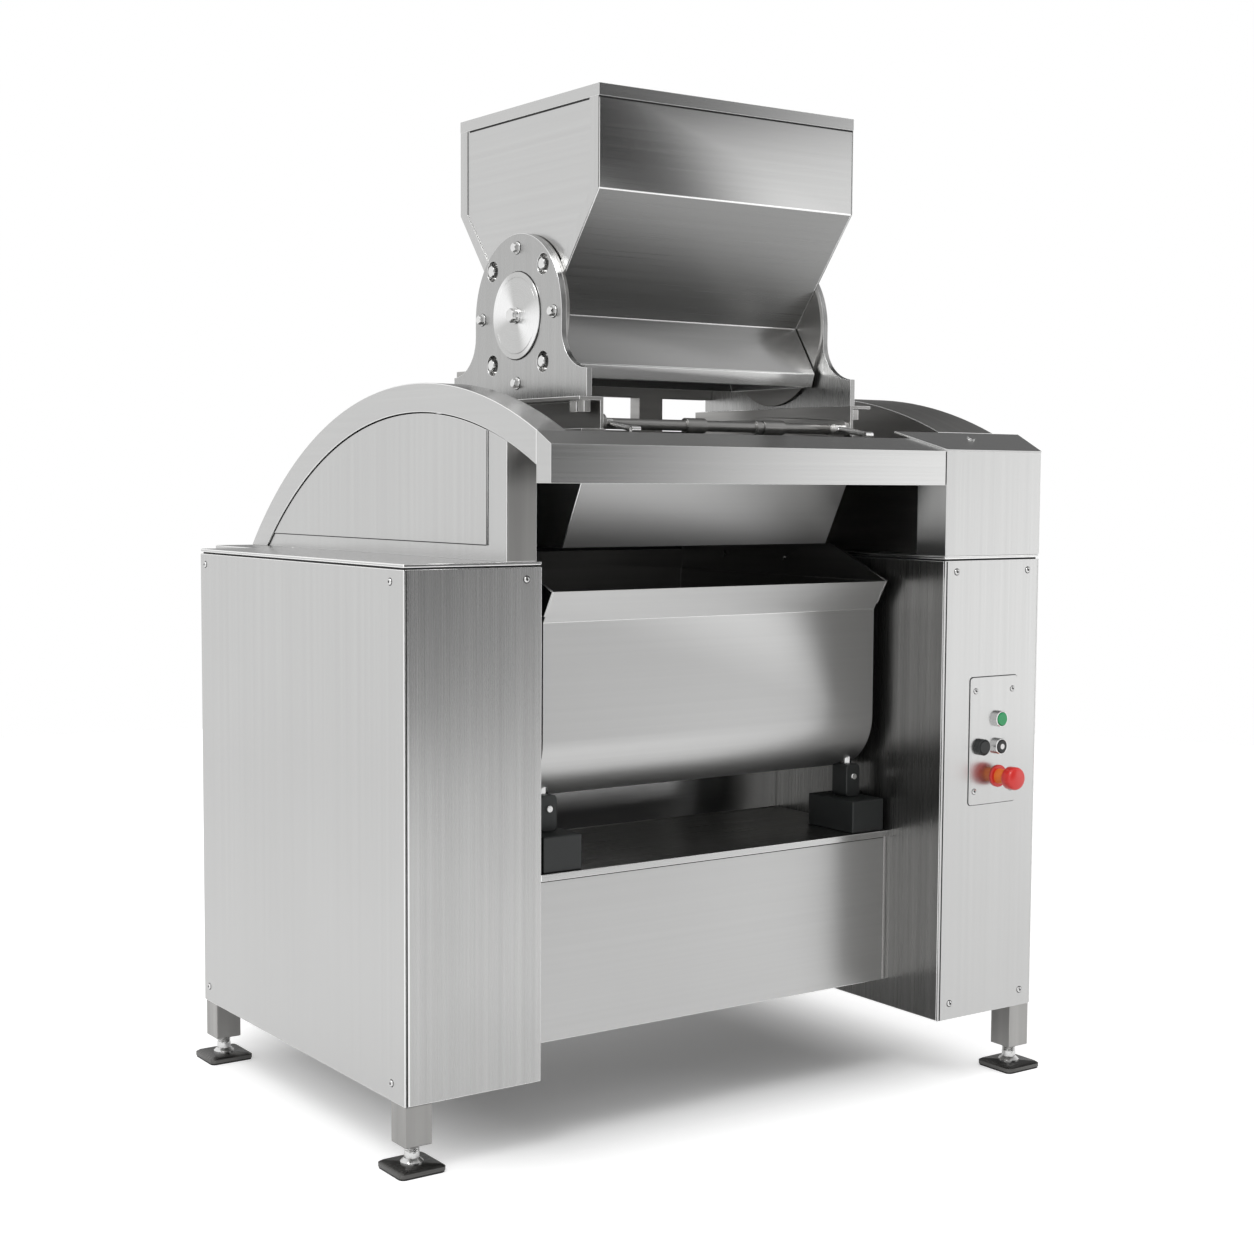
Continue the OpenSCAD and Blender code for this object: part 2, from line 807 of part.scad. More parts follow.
module trunnion_flanges() {
    color("silver") both_sides() difference() {
        rod_x([x_strip, hopper_y, z_trunnion], flange_t, 2 * head_r);
        gate_bore(x_strip - eps, x_flange + eps, hole_gap);
    }
}
module trunnion_caps() {
    color("silver") both_sides() difference() {
        rod_x([x_plate, hopper_y, z_trunnion], cap_t, cap_d);
        gate_bore(x_plate - eps, x_plate + cap_t + eps, hole_gap);
    }
}
small_hex_s = 13;
small_hex_h = 6;
module trunnion_bolts() {
    color("gray") both_sides() {
        translate([x_plate, 0, 0]) ring_places(straight_angles) hex_head(small_hex_s, small_hex_h);
        translate([x_flange, 0, 0]) ring_places(slanted_angles) {
            cylinder(h = washer_t, d = washer_d);
            hex_head(hex_s, trunnion_t + hex_h / 2);
        }
    }
}

// The gate in the throat: shaft, retaining bolt, hand lever and flap
gate_t = 4;
gate_out = 24;
handle_d = 12;
grip_d = 26;
grip_l = 46;
collar_d = 38;
gate_end_gap = 1;
gate_hub_d = 34;
module gate_shaft() {
    x_end = x_plate + cap_t;
    x_lever = x_end + (gate_out + gate_end_gap) / 2;
    color("silver") {
        rod_x([-x_end - small_hex_h, hopper_y, z_trunnion],
            2 * x_end + small_hex_h + gate_out, gate_shaft_d);
        translate([-x_end - small_hex_h, hopper_y, z_trunnion])
            rotate([0, -90, 0]) hex_head(hex_s, small_hex_h);
        rod_x([x_end + gate_end_gap, hopper_y, z_trunnion], gate_out - gate_end_gap, collar_d);
        rod_z([x_lever, hopper_y, z_trunnion], gate_handle_l, handle_d);
    }
    color("black") rod_z([x_lever, hopper_y, z_trunnion + gate_handle_l], grip_l, grip_d);
}
module gate_flap() {
    half = waist_d / 2 - hopper_t - gate_gap;
    x_end = x_hopper - hopper_t - gate_gap;
    color("silver") difference() {
        union() {
            box([-x_end, hopper_y - half, z_trunnion - gate_t / 2],
                [x_end, hopper_y + half, z_trunnion + gate_t / 2]);
            rod_x([-x_end, hopper_y, z_trunnion], 2 * x_end, gate_hub_d);
        }
        gate_bore(-x_end - eps, x_end + eps, 0);
    }
}

// The rail behind the hopper on its two posts
rail_y = 405;
rail_d = 30;
rail_h = 34;
rail_up = 22;
rail_post_w = 52;
rail_post_share = 0.514;
module rear_rail() {
    rail_post_x = rail_post_share * (saddle_x - link_t);
    y0 = y_left + rail_y - rail_d / 2;
    z0 = z_saddle + rail_up;
    color("dimgray") {
        box([-x_flange, y0, z0], [x_flange, y0 + rail_d, z0 + rail_h]);
        for (x = [-rail_post_x, rail_post_x])
            box([x - rail_post_w / 2, y0, z_deck], [x + rail_post_w / 2, y0 + rail_d, z0]);
    }
}

// The cross shaft and the link plates beside the saddles
link_y = 35;
link_up = 12.3;
link_shaft_d = 18;
link_t = 8;
link_eye_d = 30;
link_eye_up = 16;
link_boss_y = 200;
link_boss_up = 28;
link_boss_d = 26;
link_tail_y = 410;
link_tail_d = 12;
link_collar_d = 25;
link_collar_shares = [[-0.247, 0.162], [0.34, 0.049], [0.405, 0.182]];
module link_plate() {
    hull() {
        translate([y_left, z_deck + link_eye_up]) circle(d = link_eye_d);
        translate([y_left + link_boss_y, z_deck + link_boss_up]) circle(d = link_boss_d);
    }
    hull() {
        translate([y_left + link_boss_y, z_deck + link_boss_up]) circle(d = link_boss_d);
        translate([y_left + link_tail_y, z_deck + link_boss_up]) circle(d = link_tail_d);
    }
}
module saddle_linkage() {
    half = saddle_x - link_t;
    z = z_deck + link_up + link_t / 2;
    color("gray") {
        both_sides() along_x(half, saddle_x) link_plate();
        rod_x([-half, y_left + link_y, z], 2 * half, link_shaft_d);
        for (share = link_collar_shares)
            rod_x([half * share.x, y_left + link_y, z], half * share.y, link_collar_d);
    }
}

// Round stays from the link plates down to the beam
stay_d = 10;
stay_in = 12;
stay_lug_d = 16;
module stay_rods() {
    top = [saddle_x - link_t - stay_lug_d / 2, y_left, z_deck + link_eye_up];
    low = [saddle_x - link_t - stay_lug_d / 2, beam_y + stay_in, z_deck + stay_d / 2];
    color("silver") both_sides() {
        rod_between(low, top, stay_d);
        rod_x(top - [stay_lug_d / 2, 0, 0], stay_lug_d, stay_lug_d);
        rod_x(low - [stay_lug_d / 2, 0, 0], stay_lug_d, stay_d);
    }
}

// The chute that leads from the deck down into the trough
module chute_profile(inset, over) {
    slant_front = (chute_low_front - chute_top_front) / (z_deck - deck_t - z_chute);
    slant_back = (chute_top_back - chute_low_back) / (z_deck - deck_t - z_chute);
    polygon([[chute_top_front + inset - slant_front * over, z_deck - deck_t + over],
        [chute_top_back - inset + slant_back * over, z_deck - deck_t + over],
        [chute_low_back - inset - slant_back * over, z_chute - over],
        [chute_low_front + inset + slant_front * over, z_chute - over]]);
}
module feed_chute() {
    x = chute_w / 2;
    color("silver") difference() {
        union() {
            along_x(-x, x) chute_profile(0, 0);
            box([-x - chute_flange, chute_top_front - chute_flange, z_deck - deck_t - sheet_t],
                [x + chute_flange, chute_top_back + chute_flange, z_deck - deck_t]);
        }
        along_x(-x + sheet_t, x - sheet_t) chute_profile(sheet_t, eps);
    }
}

// The trough's outline seen from the end
module trough_profile(inset) {
    r = trough_corner_r;
    polygon([[trough_y + inset, z_trough + r], [trough_y + inset, z_fold],
        [trough_y - lip_lean + inset, z_rim], [trough_back - inset, z_rim],
        [trough_back - inset, z_trough + r]]);
    translate([trough_y + r, z_trough + inset]) square([trough_d - 2 * r, r - inset]);
    for (y = [trough_y + r, trough_back - r]) translate([y, z_trough + r]) circle(r - inset);
}
rim_bar = 14;
gland_d = 92;
gland_l = 11;
module door_opening() {
    box([trough_x - door_w / 2, y_rear_rotor + hub_d / 2, z_door - door_h / 2],
        [trough_x + door_w / 2, trough_back + eps, z_door + door_h / 2]);
}
module trough_shell() {
    color("silver") difference() {
        union() {
            along_x(x_trough_0, x_trough_1) trough_profile(0);
            box([x_trough_0, trough_back - trough_t, z_fold],
                [x_trough_1, trough_back, z_rim + rear_rise]);
            rod_x([x_trough_0, trough_back + rim_bar / 2 - trough_t, z_rim + rear_rise - rim_bar / 2],
                trough_w, rim_bar);
            for (y = [y_front_rotor, y_rear_rotor])
                rod_x([x_trough_0 - gland_l, y, z_rotor], trough_w + 2 * gland_l, gland_d);
        }
        along_x(x_trough_0 + trough_t, x_trough_1 - trough_t) trough_profile(trough_t);
        box([x_trough_0 + trough_t, trough_y - lip_lean + trough_t, z_rim - eps],
            [x_trough_1 - trough_t, trough_back - trough_t, z_rim + rear_rise + eps]);
        door_opening();
        shaft_holes(x_trough_0 - gland_l - eps, x_trough_1 + gland_l + eps, shaft_d + 2 * fit_gap);
    }
}

// The saddle liner round the rotors
ridge_bar_w = 20;
module liner_profile(r, over) {
    intersection() {
        union() {
            for (y = [y_front_rotor, y_rear_rotor]) translate([y, z_rotor]) circle(r);
            translate([y_front_rotor - r, z_rotor]) square([rotor_pitch + 2 * r, 2 * r]);
        }
        translate([y_front_rotor - r, z_rotor - r])
            square([rotor_pitch + 2 * r, z_fold + over - z_rotor + r]);
    }
}
module trough_liner() {
    color("silver") difference() {
        along_x(x_trough_0 + trough_t, x_trough_1 - trough_t) {
            liner_profile(liner_r, 0);
            translate([rotor_y - ridge_bar_w / 2, z_rotor - 2 * ridge_cut])
                square([ridge_bar_w, ridge_cut]);
        }
        along_x(x_trough_0 + trough_t - eps, x_trough_1 - trough_t + eps) {
            liner_profile(liner_r - liner_t, eps);
            translate([y_front_rotor, z_rotor - ridge_cut]) square([rotor_pitch, 2 * ridge_cut]);
        }
        door_opening();
    }
}

// Cheeks bolted to the trough's ends that carry on up to the chute
cheek_t = 3;
cheek_lap = 40;
cheek_run = 150;
cheek_bolt_y = 273;
cheek_bolt_up = 33;
module trough_cheeks() {
    y0 = trough_y - lip_lean;
    color("silver") for (x = [x_trough_0 - cheek_t, x_trough_1]) {
        along_x(x, x + cheek_t) polygon([
            [y0 + lip_lean * cheek_lap / lip_h, z_rim - cheek_lap],
            [y0, z_rim], [y0 + cheek_run, z_chute],
            [trough_back, z_chute], [trough_back, z_rim - cheek_lap]]);
        for (y = [y_left + cheek_bolt_y, trough_back - cheek_bolt_y / 2])
            rod_x([x - small_hex_h / 2, y, z_rim + cheek_bolt_up], cheek_t + small_hex_h, small_hex_s);
    }
}

// The discharge door in the rear wall and its hinge along the top edge
door_gap = 0.3;
door_y = trough_back + door_gap;
z_door_pin = z_door + door_h / 2 + door_lap + door_pin_d;
y_door_pin = trough_back + door_pin_out + door_gap;
knuckle_d = 17;
knuckle_gap = 1;
door_handle_d = 12;
door_handle_l = 120;
door_handle_out = 32;
module door_discharge_plate() {
    box([trough_x - door_w / 2 - door_lap, door_y, z_door - door_h / 2 - door_lap],
        [trough_x + door_w / 2 + door_lap, door_y + door_t, z_door + door_h / 2 + door_lap]);
}
knuckle_places = [for (s = [-1, 1]) trough_x + s * door_w / 3 - knuckle_l / 2];
module discharge_door() {
    color("silver") {
        door_discharge_plate();
        for (x = knuckle_places) difference() {
            union() {
                rod_x([x, y_door_pin, z_door_pin], knuckle_l, knuckle_d);
                box([x, door_y, z_door + door_h / 2], [x + knuckle_l, door_y + door_t, z_door_pin]);
            }
            rod_x([x - eps, y_door_pin, z_door_pin], knuckle_l + 2 * eps, door_pin_d + 2 * fit_gap);
        }
        for (s = [-1, 1])
            rod_y([trough_x + s * (door_handle_l - door_handle_d) / 2, door_y + door_t, z_door],
                door_handle_out, door_handle_d);
        rod_x([trough_x - door_handle_l / 2, door_y + door_t + door_handle_out, z_door],
            door_handle_l, door_handle_d);
    }
}
module door_hinge() {
    color("silver") {
        rod_x([trough_x - door_w / 2, y_door_pin, z_door_pin], door_w, door_pin_d);
        for (x = knuckle_places, s = [-1, 1]) {
            x0 = s < 0 ? x - knuckle_gap - knuckle_l / 2 : x + knuckle_l + knuckle_gap;
            rod_x([x0, y_door_pin, z_door_pin], knuckle_l / 2, knuckle_d);
            box([x0, trough_back, z_door_pin - knuckle_d / 2],
                [x0 + knuckle_l / 2, y_door_pin, z_door_pin + knuckle_d / 2]);
        }
    }
}

// The rotors: shafts, end arms and a blade that winds half a turn
rotor_x0 = x_trough_0 + trough_t + rotor_end_gap;
rotor_x1 = x_trough_1 - trough_t - rotor_end_gap;
x_shaft_0 = x_wheel - shaft_out;
x_shaft_1 = x_right_in + shaft_right;
rotor_reach = sqrt(rotor_r * rotor_r - rotor_bar_t * rotor_bar_t / 4);
blade_slices = 36;
blade_turn = 180;
module rotor(y, turn, start) {
    span = rotor_x1 - rotor_x0;
    translate([0, y, z_rotor]) rotate([start, 0, 0]) {
        rod_x([rotor_x0, 0, 0], hub_l, hub_d);
        rod_x([rotor_x1 - hub_l, 0, 0], hub_l, hub_d);
        box([rotor_x0, -rotor_bar_t / 2, 0], [rotor_x0 + hub_l, rotor_bar_t / 2, rotor_reach]);
        rotate([turn, 0, 0])
            box([rotor_x1 - hub_l, -rotor_bar_t / 2, 0], [rotor_x1, rotor_bar_t / 2, rotor_reach]);
        translate([rotor_x0 + hub_l, 0, 0]) rotate([90, 0, 90])
            linear_extrude(span - 2 * hub_l, twist = -turn, slices = blade_slices)
                translate([-rotor_bar_t / 2, rotor_reach - rotor_bar_w])
                    square([rotor_bar_t, rotor_bar_w]);
    }
}
module front_rotor() {
    color("silver") {
        rod_x([x_shaft_0, y_front_rotor, z_rotor], rotor_x0 + hub_l - x_shaft_0, shaft_d);
        rod_x([rotor_x1 - hub_l, y_front_rotor, z_rotor], x_shaft_1 - rotor_x1 + hub_l, shaft_d);
        rotor(y_front_rotor, blade_turn, 0);
    }
}
module rear_rotor() {
    color("silver") {
        rod_x([x_gear - shaft_out, y_rear_rotor, z_rotor],
            rotor_x0 + hub_l - x_gear + shaft_out, shaft_d);
        rod_x([rotor_x1 - hub_l, y_rear_rotor, z_rotor], x_shaft_1 - rotor_x1 + hub_l, shaft_d);
        rotor(y_rear_rotor, -blade_turn, blade_turn / 2);
    }
}

// A spur gear with involute teeth, drawn in Y and Z
pressure_angle = 20;
root_share = 1.25;
backlash = 0.3;
flank_steps = 4;
function roll(r, base) = r <= base ? 0 : tan(acos(base / r)) * 180 / PI - acos(base / r);
module gear_profile(teeth) {
    pitch_r = gear_module * teeth / 2;
    base = pitch_r * cos(pressure_angle);
    root = pitch_r - root_share * gear_module;
    tip = pitch_r + gear_module;
    half = 90 / teeth - backlash / pitch_r * 45 / PI + roll(pitch_r, base);
    low = max(root, base);
    flank = [for (i = [0:flank_steps]) low + (tip - low) * i / flank_steps];
    polygon([for (k = [0:teeth - 1]) let (at = 360 * k / teeth) each concat(
        [[root * cos(at - half), root * sin(at - half)]],
        [for (r = flank) let (a = at - half + roll(r, base)) [r * cos(a), r * sin(a)]],
        [for (i = [flank_steps:-1:0])
            let (r = flank[i], a = at + half - roll(r, base)) [r * cos(a), r * sin(a)]],
        [[root * cos(at + half), root * sin(at + half)]])]);
}
gear_hub_d = 90;
gear_hub_extra = 8;
gear_hole_share = 0.58;
gear_hole_d_share = 0.3;
gear_holes = 6;
module spur_gear(y, teeth, start) {
    pitch_r = gear_module * teeth / 2;
    translate([0, y, z_rotor]) difference() {
        union() {
            along_x(x_gear, x_gear + gear_w) rotate(start) gear_profile(teeth);
            rod_x([x_gear - gear_hub_extra, 0, 0], gear_w + 2 * gear_hub_extra, gear_hub_d);
        }
        rod_x([x_gear - gear_hub_extra - eps, 0, 0],
            gear_w + 2 * gear_hub_extra + 2 * eps, shaft_d);
        for (i = [0:gear_holes - 1]) rotate([360 * i / gear_holes, 0, 0])
            rod_x([x_gear - eps, pitch_r * gear_hole_share, 0],
                gear_w + 2 * eps, pitch_r * gear_hole_d_share);
    }
}
module front_gear() {
    color("dimgray") spur_gear(y_front_rotor, front_teeth, 0);
}
module rear_gear() {
    color("dimgray") spur_gear(y_rear_rotor, rear_teeth, 180 / rear_teeth);
}

// The belt drive: large wheel, belt and small pulley
wheel_hub_d = 84;
wheel_holes = 5;
wheel_hole_share = 0.64;
wheel_hole_d_share = 0.36;
flange_over = 5;
wheel_flange_t = 3;
wheel_hub_extra = 4;
module belt_wheel() {
    r = wheel_d / 2;
    color("dimgray") translate([0, y_front_rotor, z_rotor]) difference() {
        union() {
            rod_x([x_wheel, 0, 0], belt_w, wheel_d);
            rod_x([x_wheel - wheel_hub_extra, 0, 0], belt_w + 2 * wheel_hub_extra, wheel_hub_d);
        }
        rod_x([x_wheel - wheel_hub_extra - eps, 0, 0],
            belt_w + 2 * wheel_hub_extra + 2 * eps, shaft_d);
        for (i = [0:wheel_holes - 1]) rotate([360 * i / wheel_holes, 0, 0])
            rod_x([x_wheel - eps, r * wheel_hole_share, 0], belt_w + 2 * eps, r * wheel_hole_d_share);
    }
}
drive_shaft_d = 28;
drive_shaft_in = 36;
module drive_pulley() {
    color("dimgray") {
        rod_x([x_wheel, y_front_rotor, z_drive], belt_w, pulley_d);
        rod_x([x_wheel - wheel_flange_t, y_front_rotor, z_drive],
            wheel_flange_t, pulley_d + 2 * (belt_t + flange_over));
        rod_x([x_wheel + belt_w, y_front_rotor, z_drive],
            x_box - x_wheel - belt_w + drive_shaft_in, drive_shaft_d);
    }
}
belt_side_gap = 0.5;
module belt_loop(extra) {
    hull() {
        translate([y_front_rotor, z_rotor]) circle(wheel_d / 2 + extra, $fn = 72);
        translate([y_front_rotor, z_drive]) circle(pulley_d / 2 + extra, $fn = 72);
    }
}
module drive_belt() {
    color("black") along_x(x_wheel + belt_side_gap, x_wheel + belt_w - belt_side_gap) difference() {
        belt_loop(run_gap + belt_t);
        belt_loop(run_gap);
    }
}

// The gear motor under the drive shaft, on a stand in the left column
box_in = 128;
x_box = x_left + box_in;
box_w = 97;
box_l = 120;
box_h = 140;
motor_d = 116;
motor_l = 190;
stand_in = 6;
module gear_motor() {
    y0 = y_front_rotor - box_l / 2;
    z0 = z_drive - box_h / 2;
    z_pan = z_skirt + tube_w + pan_t;
    color("steelblue") difference() {
        union() {
            box([x_box, y0, z0], [x_box + box_w, y0 + box_l, z0 + box_h]);
            rod_y([x_box + box_w / 2, y0 + box_l, z_drive], motor_l, motor_d);
            box([x_box + stand_in, y0 + stand_in, z_pan],
                [x_box + box_w - stand_in, y0 + box_l - stand_in, z0]);
        }
        rod_x([x_box - eps, y_front_rotor, z_drive],
            drive_shaft_in + 2 * eps, drive_shaft_d + 2 * fit_gap);
    }
}

// Bearing housings on the columns' inner panels
bearing_l = 32;
bearing_d = 112;
module rotor_bearings() {
    color("dimgray") difference() {
        for (y = [y_front_rotor, y_rear_rotor],
            x = [x_left_in - sheet_t - bearing_l, x_right_in + sheet_t])
            rod_x([x, y, z_rotor], bearing_l, bearing_d);
        shaft_holes(x_left, x_right, shaft_d + 2 * fit_gap);
    }
}

// The shelf with its front flange and back panel, the apron and the beams beneath
back_panel_h = 101;
shelf_gap = 0.5;
apron_back = 5;
module shelf() {
    x0 = x_left_in;
    x1 = x_right_in;
    color("silver") {
        box([x0, y_left, z_shelf - shelf_t], [x1, y_left + shelf_d, z_shelf]);
        box([x0, y_left, z_shelf - shelf_flange_h], [x1, y_left + shelf_t, z_shelf - shelf_t]);
    }
    color("dimgray") box([x0, y_left + shelf_d, z_shelf - shelf_flange_h],
        [x1, y_left + shelf_d + sheet_t, z_shelf + back_panel_h]);
}
module apron() {
    color("silver") box([x_left_in, y_left + apron_back, z_shelf - shelf_flange_h - apron_h],
        [x_right_in, y_left + apron_back + sheet_t, z_shelf - shelf_t - shelf_gap]);
}
cross_front = 40;
cross_back = 240;
module cross_beams() {
    color("gray") for (y = [cross_front, cross_back])
        box([x_left_in, y_left + y, z_shelf - shelf_t - cross_w],
            [x_right_in, y_left + y + cross_w, z_shelf - shelf_t]);
}

// Black rest blocks on the shelf and the forked studs that hold the trough
block_x = [x_left_in + block_side, x_right_in - block_side - block_w];
module rest_blocks() {
    color([0.05, 0.05, 0.05]) for (x = block_x)
        box([x, y_left + block_front, z_shelf],
            [x + block_w, y_left + block_front + block_d, z_shelf + block_h]);
}
fork_w = 40;
fork_t = 8;
fork_pin_d = 12;
fork_pin_up = 17;
fork_pin_l = 56;
fork_top_up = 12;
stud_d = 20;
stud_nut_h = 8;
module clevises() {
    y = y_left + block_front + block_d / 2;
    z0 = z_shelf + block_h;
    z_pin = z0 + fork_pin_up;
    color("silver") difference() {
        for (bx = block_x) let (x = bx + block_w / 2) {
            for (side = [y - 2 * fork_t, y + fork_t])
                box([x - 3 * fork_t / 2, side, z0],
                    [x + 3 * fork_t / 2, side + fork_t, z_pin + fork_top_up]);
            rod_y([x, y - fork_pin_l / 2, z_pin], fork_pin_l, fork_pin_d);
            box([x - fork_t, y - fork_t, z_pin - fork_top_up],
                [x + fork_t, y + fork_t, z_pin + fork_top_up]);
            rod_z([x, y, z_pin], trough_corner_r, stud_d);
            translate([x, y, z_pin + fork_top_up]) hex_head(fork_w - fork_t, stud_nut_h);
        }
        along_x(x_trough_0 - eps, x_trough_1 + eps) trough_profile(0);
    }
}

// The control plate with the rings of its buttons, its screws and the neck of the stop mushroom
button_rings = [start_shares, inch_shares, stop_shares];
plate_screw_d = 6;
plate_screw_h = 1.2;
plate_screw_in_x = 14;
plate_screw_in_z = 25;
halt_ring_d = 40;
halt_ring_h = 10;
halt_neck_d = 27;
halt_stem_d = 18;
stem_d = 14;
stem_l = 16;
function button_x(at) = control_x + control_w * at.x;
function button_z(at) = z_control + control_h * at.y;
module button_holes(y0, y1) {
    for (at = button_rings)
        rod_y([button_x(at), y0, button_z(at)], y1 - y0, button_d + 2 * fit_gap);
    rod_y([button_x(halt_shares), y0, button_z(halt_shares)],
        y1 - y0, halt_stem_d + 2 * fit_gap);
}
module control_plate() {
    y1 = y_front - control_t;
    color("silver") difference() {
        union() {
            box([control_x, y1, z_control], [control_x + control_w, y_front, z_control + control_h]);
            for (at = button_rings) rod_y([button_x(at), y1 - ring_h, button_z(at)], ring_h, ring_d);
            rod_y([button_x(halt_shares), y1 - halt_ring_h, button_z(halt_shares)],
                halt_ring_h, halt_ring_d);
            rod_y([button_x(halt_shares), y1 - halt_neck_h, button_z(halt_shares)],
                halt_neck_h, halt_neck_d);
            for (x = [control_x + plate_screw_in_x, control_x + control_w - plate_screw_in_x],
                z = [z_control + plate_screw_in_z, z_control + control_h - plate_screw_in_z])
                rod_y([x, y1 - plate_screw_h, z], plate_screw_h, plate_screw_d);
        }
        button_holes(y1 - halt_neck_h - eps, y_front + eps);
    }
}
module push_button(at, proud) {
    y1 = y_front - control_t;
    rod_y([button_x(at), y1 - proud, button_z(at)], proud + control_t + sheet_t, button_d);
    rod_y([button_x(at), y_front + sheet_t, button_z(at)], stem_l, stem_d);
}
module start_button() {
    color("green") push_button(start_shares, button_out);
}
module inch_button() {
    color("black") push_button(inch_shares, button_out);
}
module stop_button() {
    color("black") push_button(stop_shares, button_out);
}
module halt_button() {
    y1 = y_front - control_t - halt_neck_h - halt_gap;
    color("red") {
        rod_y([button_x(halt_shares), y1 - head_t, button_z(halt_shares)], head_t, mushroom_d);
        rod_y([button_x(halt_shares), y1, button_z(halt_shares)], y_front + stem_l - y1, halt_stem_d);
    }
}

column_frames();
legs();
foot_spindles();
foot_pads();
left_side_panel();
left_front_panel();
left_inner_panel();
right_side_panel();
right_front_panel();
right_inner_panel();
rear_panels();
rear_housings();
lid_seals();
lids();
panel_screws();
left_guard_box();
left_arch_band();
front_beam();
right_upper_box();
right_arch_cover();
top_deck();
rear_upper_panel();
hopper_shell();
hopper_rim();
hopper_edge_strips();
saddles();
trunnion_plates();
trunnion_flanges();
trunnion_caps();
trunnion_bolts();
gate_shaft();
gate_flap();
rear_rail();
saddle_linkage();
stay_rods();
feed_chute();
trough_shell();
trough_liner();
trough_cheeks();
discharge_door();
door_hinge();
front_rotor();
front_gear();
belt_wheel();
rear_rotor();
rear_gear();
rotor_bearings();
gear_motor();
drive_pulley();
drive_belt();
shelf();
apron();
cross_beams();
rest_blocks();
clevises();
control_plate();
start_button();
inch_button();
stop_button();
halt_button();
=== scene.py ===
import json
import math

import bmesh
import bpy
import numpy as np
from mathutils import Matrix, Vector


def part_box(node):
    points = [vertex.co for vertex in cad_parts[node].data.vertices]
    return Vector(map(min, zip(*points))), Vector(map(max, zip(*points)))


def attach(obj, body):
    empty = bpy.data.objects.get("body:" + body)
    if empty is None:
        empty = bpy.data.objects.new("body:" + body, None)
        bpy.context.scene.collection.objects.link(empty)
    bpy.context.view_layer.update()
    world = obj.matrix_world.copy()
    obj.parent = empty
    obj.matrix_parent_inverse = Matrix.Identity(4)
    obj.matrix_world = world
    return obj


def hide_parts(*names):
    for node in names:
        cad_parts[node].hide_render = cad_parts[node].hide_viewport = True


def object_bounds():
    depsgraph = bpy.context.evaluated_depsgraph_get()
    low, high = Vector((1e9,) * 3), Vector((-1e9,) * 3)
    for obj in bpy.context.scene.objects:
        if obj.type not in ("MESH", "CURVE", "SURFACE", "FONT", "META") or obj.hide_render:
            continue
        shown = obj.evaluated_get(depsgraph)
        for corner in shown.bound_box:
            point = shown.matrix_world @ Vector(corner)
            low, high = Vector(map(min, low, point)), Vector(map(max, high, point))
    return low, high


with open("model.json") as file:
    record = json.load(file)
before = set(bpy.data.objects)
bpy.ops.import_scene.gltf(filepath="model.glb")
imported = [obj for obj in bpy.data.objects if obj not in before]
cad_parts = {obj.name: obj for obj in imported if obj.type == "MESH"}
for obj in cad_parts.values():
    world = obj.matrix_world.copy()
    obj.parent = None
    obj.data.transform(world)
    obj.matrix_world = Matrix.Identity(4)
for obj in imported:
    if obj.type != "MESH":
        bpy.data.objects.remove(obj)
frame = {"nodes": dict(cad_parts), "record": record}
nodes = frame["nodes"]
record = frame["record"]
cadBox = [list(corner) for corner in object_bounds()]
bodyOf = {node: body for body, names in record["behaviour"]["bodies"].items() for node in names}
upright, level, deep = (0, 0, 1), (1, 0, 0), (0, 1, 0)
forward = np.array((0, -1.0, 0))
print("frame loaded,", len(nodes), "nodes")

# camera, fitted to the photograph
viewpoint = {"place": (-1.9854, -2.9249, 1.0461), "yaw": 34.995, "pitch": -4.207, "roll": 0.321,
             "lens": 56.30, "sensor": 36.0}


# side points right of the view, up is side cross ahead, and both are turned by the roll
def placeCamera(viewpoint):
    yaw, pitch, roll = (math.radians(viewpoint[key]) for key in ("yaw", "pitch", "roll"))
    ahead = Vector((math.sin(yaw) * math.cos(pitch), math.cos(yaw) * math.cos(pitch), math.sin(pitch)))
    across = Vector((math.cos(yaw), -math.sin(yaw), 0))
    above = across.cross(ahead)
    side = math.cos(roll) * across + math.sin(roll) * above
    up = math.cos(roll) * above - math.sin(roll) * across
    data = bpy.data.cameras.new("camera")
    data.lens = viewpoint["lens"]
    data.sensor_width = viewpoint["sensor"]
    camera = bpy.data.objects.new("camera", data)
    bpy.context.scene.collection.objects.link(camera)
    turned = Matrix((side, up, -ahead)).transposed().to_4x4()
    camera.matrix_world = Matrix.Translation(viewpoint["place"]) @ turned
    bpy.context.scene.camera = camera


placeCamera(viewpoint)
bpy.context.scene.view_settings.view_transform = "Standard"


# sets numbers on a node's entries, and links other nodes' outputs to them
def feed(tree, node, entries):
    for key, value in entries.items():
        if isinstance(value, bpy.types.NodeSocket):
            tree.links.new(value, node.inputs[key])
        else:
            node.inputs[key].default_value = value
    return node


def addNode(tree, kind, entries=None, **settings):
    node = tree.nodes.new(kind)
    for key, value in settings.items():
        setattr(node, key, value)
    return feed(tree, node, entries or {})


# the result of a maths node on numbers or other nodes' outputs
def calculate(tree, operation, *values, **settings):
    node = addNode(tree, "ShaderNodeMath", dict(enumerate(values)), operation=operation, **settings)
    return node.outputs[0]


def newGroup(name, inputs, outputs):
    tree = bpy.data.node_groups.new(name, "ShaderNodeTree")
    for label, kind, value in inputs:
        socket = tree.interface.new_socket(name=label, in_out="INPUT", socket_type=kind)
        socket.default_value = value
    for label, kind in outputs:
        tree.interface.new_socket(name=label, in_out="OUTPUT", socket_type=kind)
    return tree, addNode(tree, "NodeGroupInput").outputs, addNode(tree, "NodeGroupOutput")


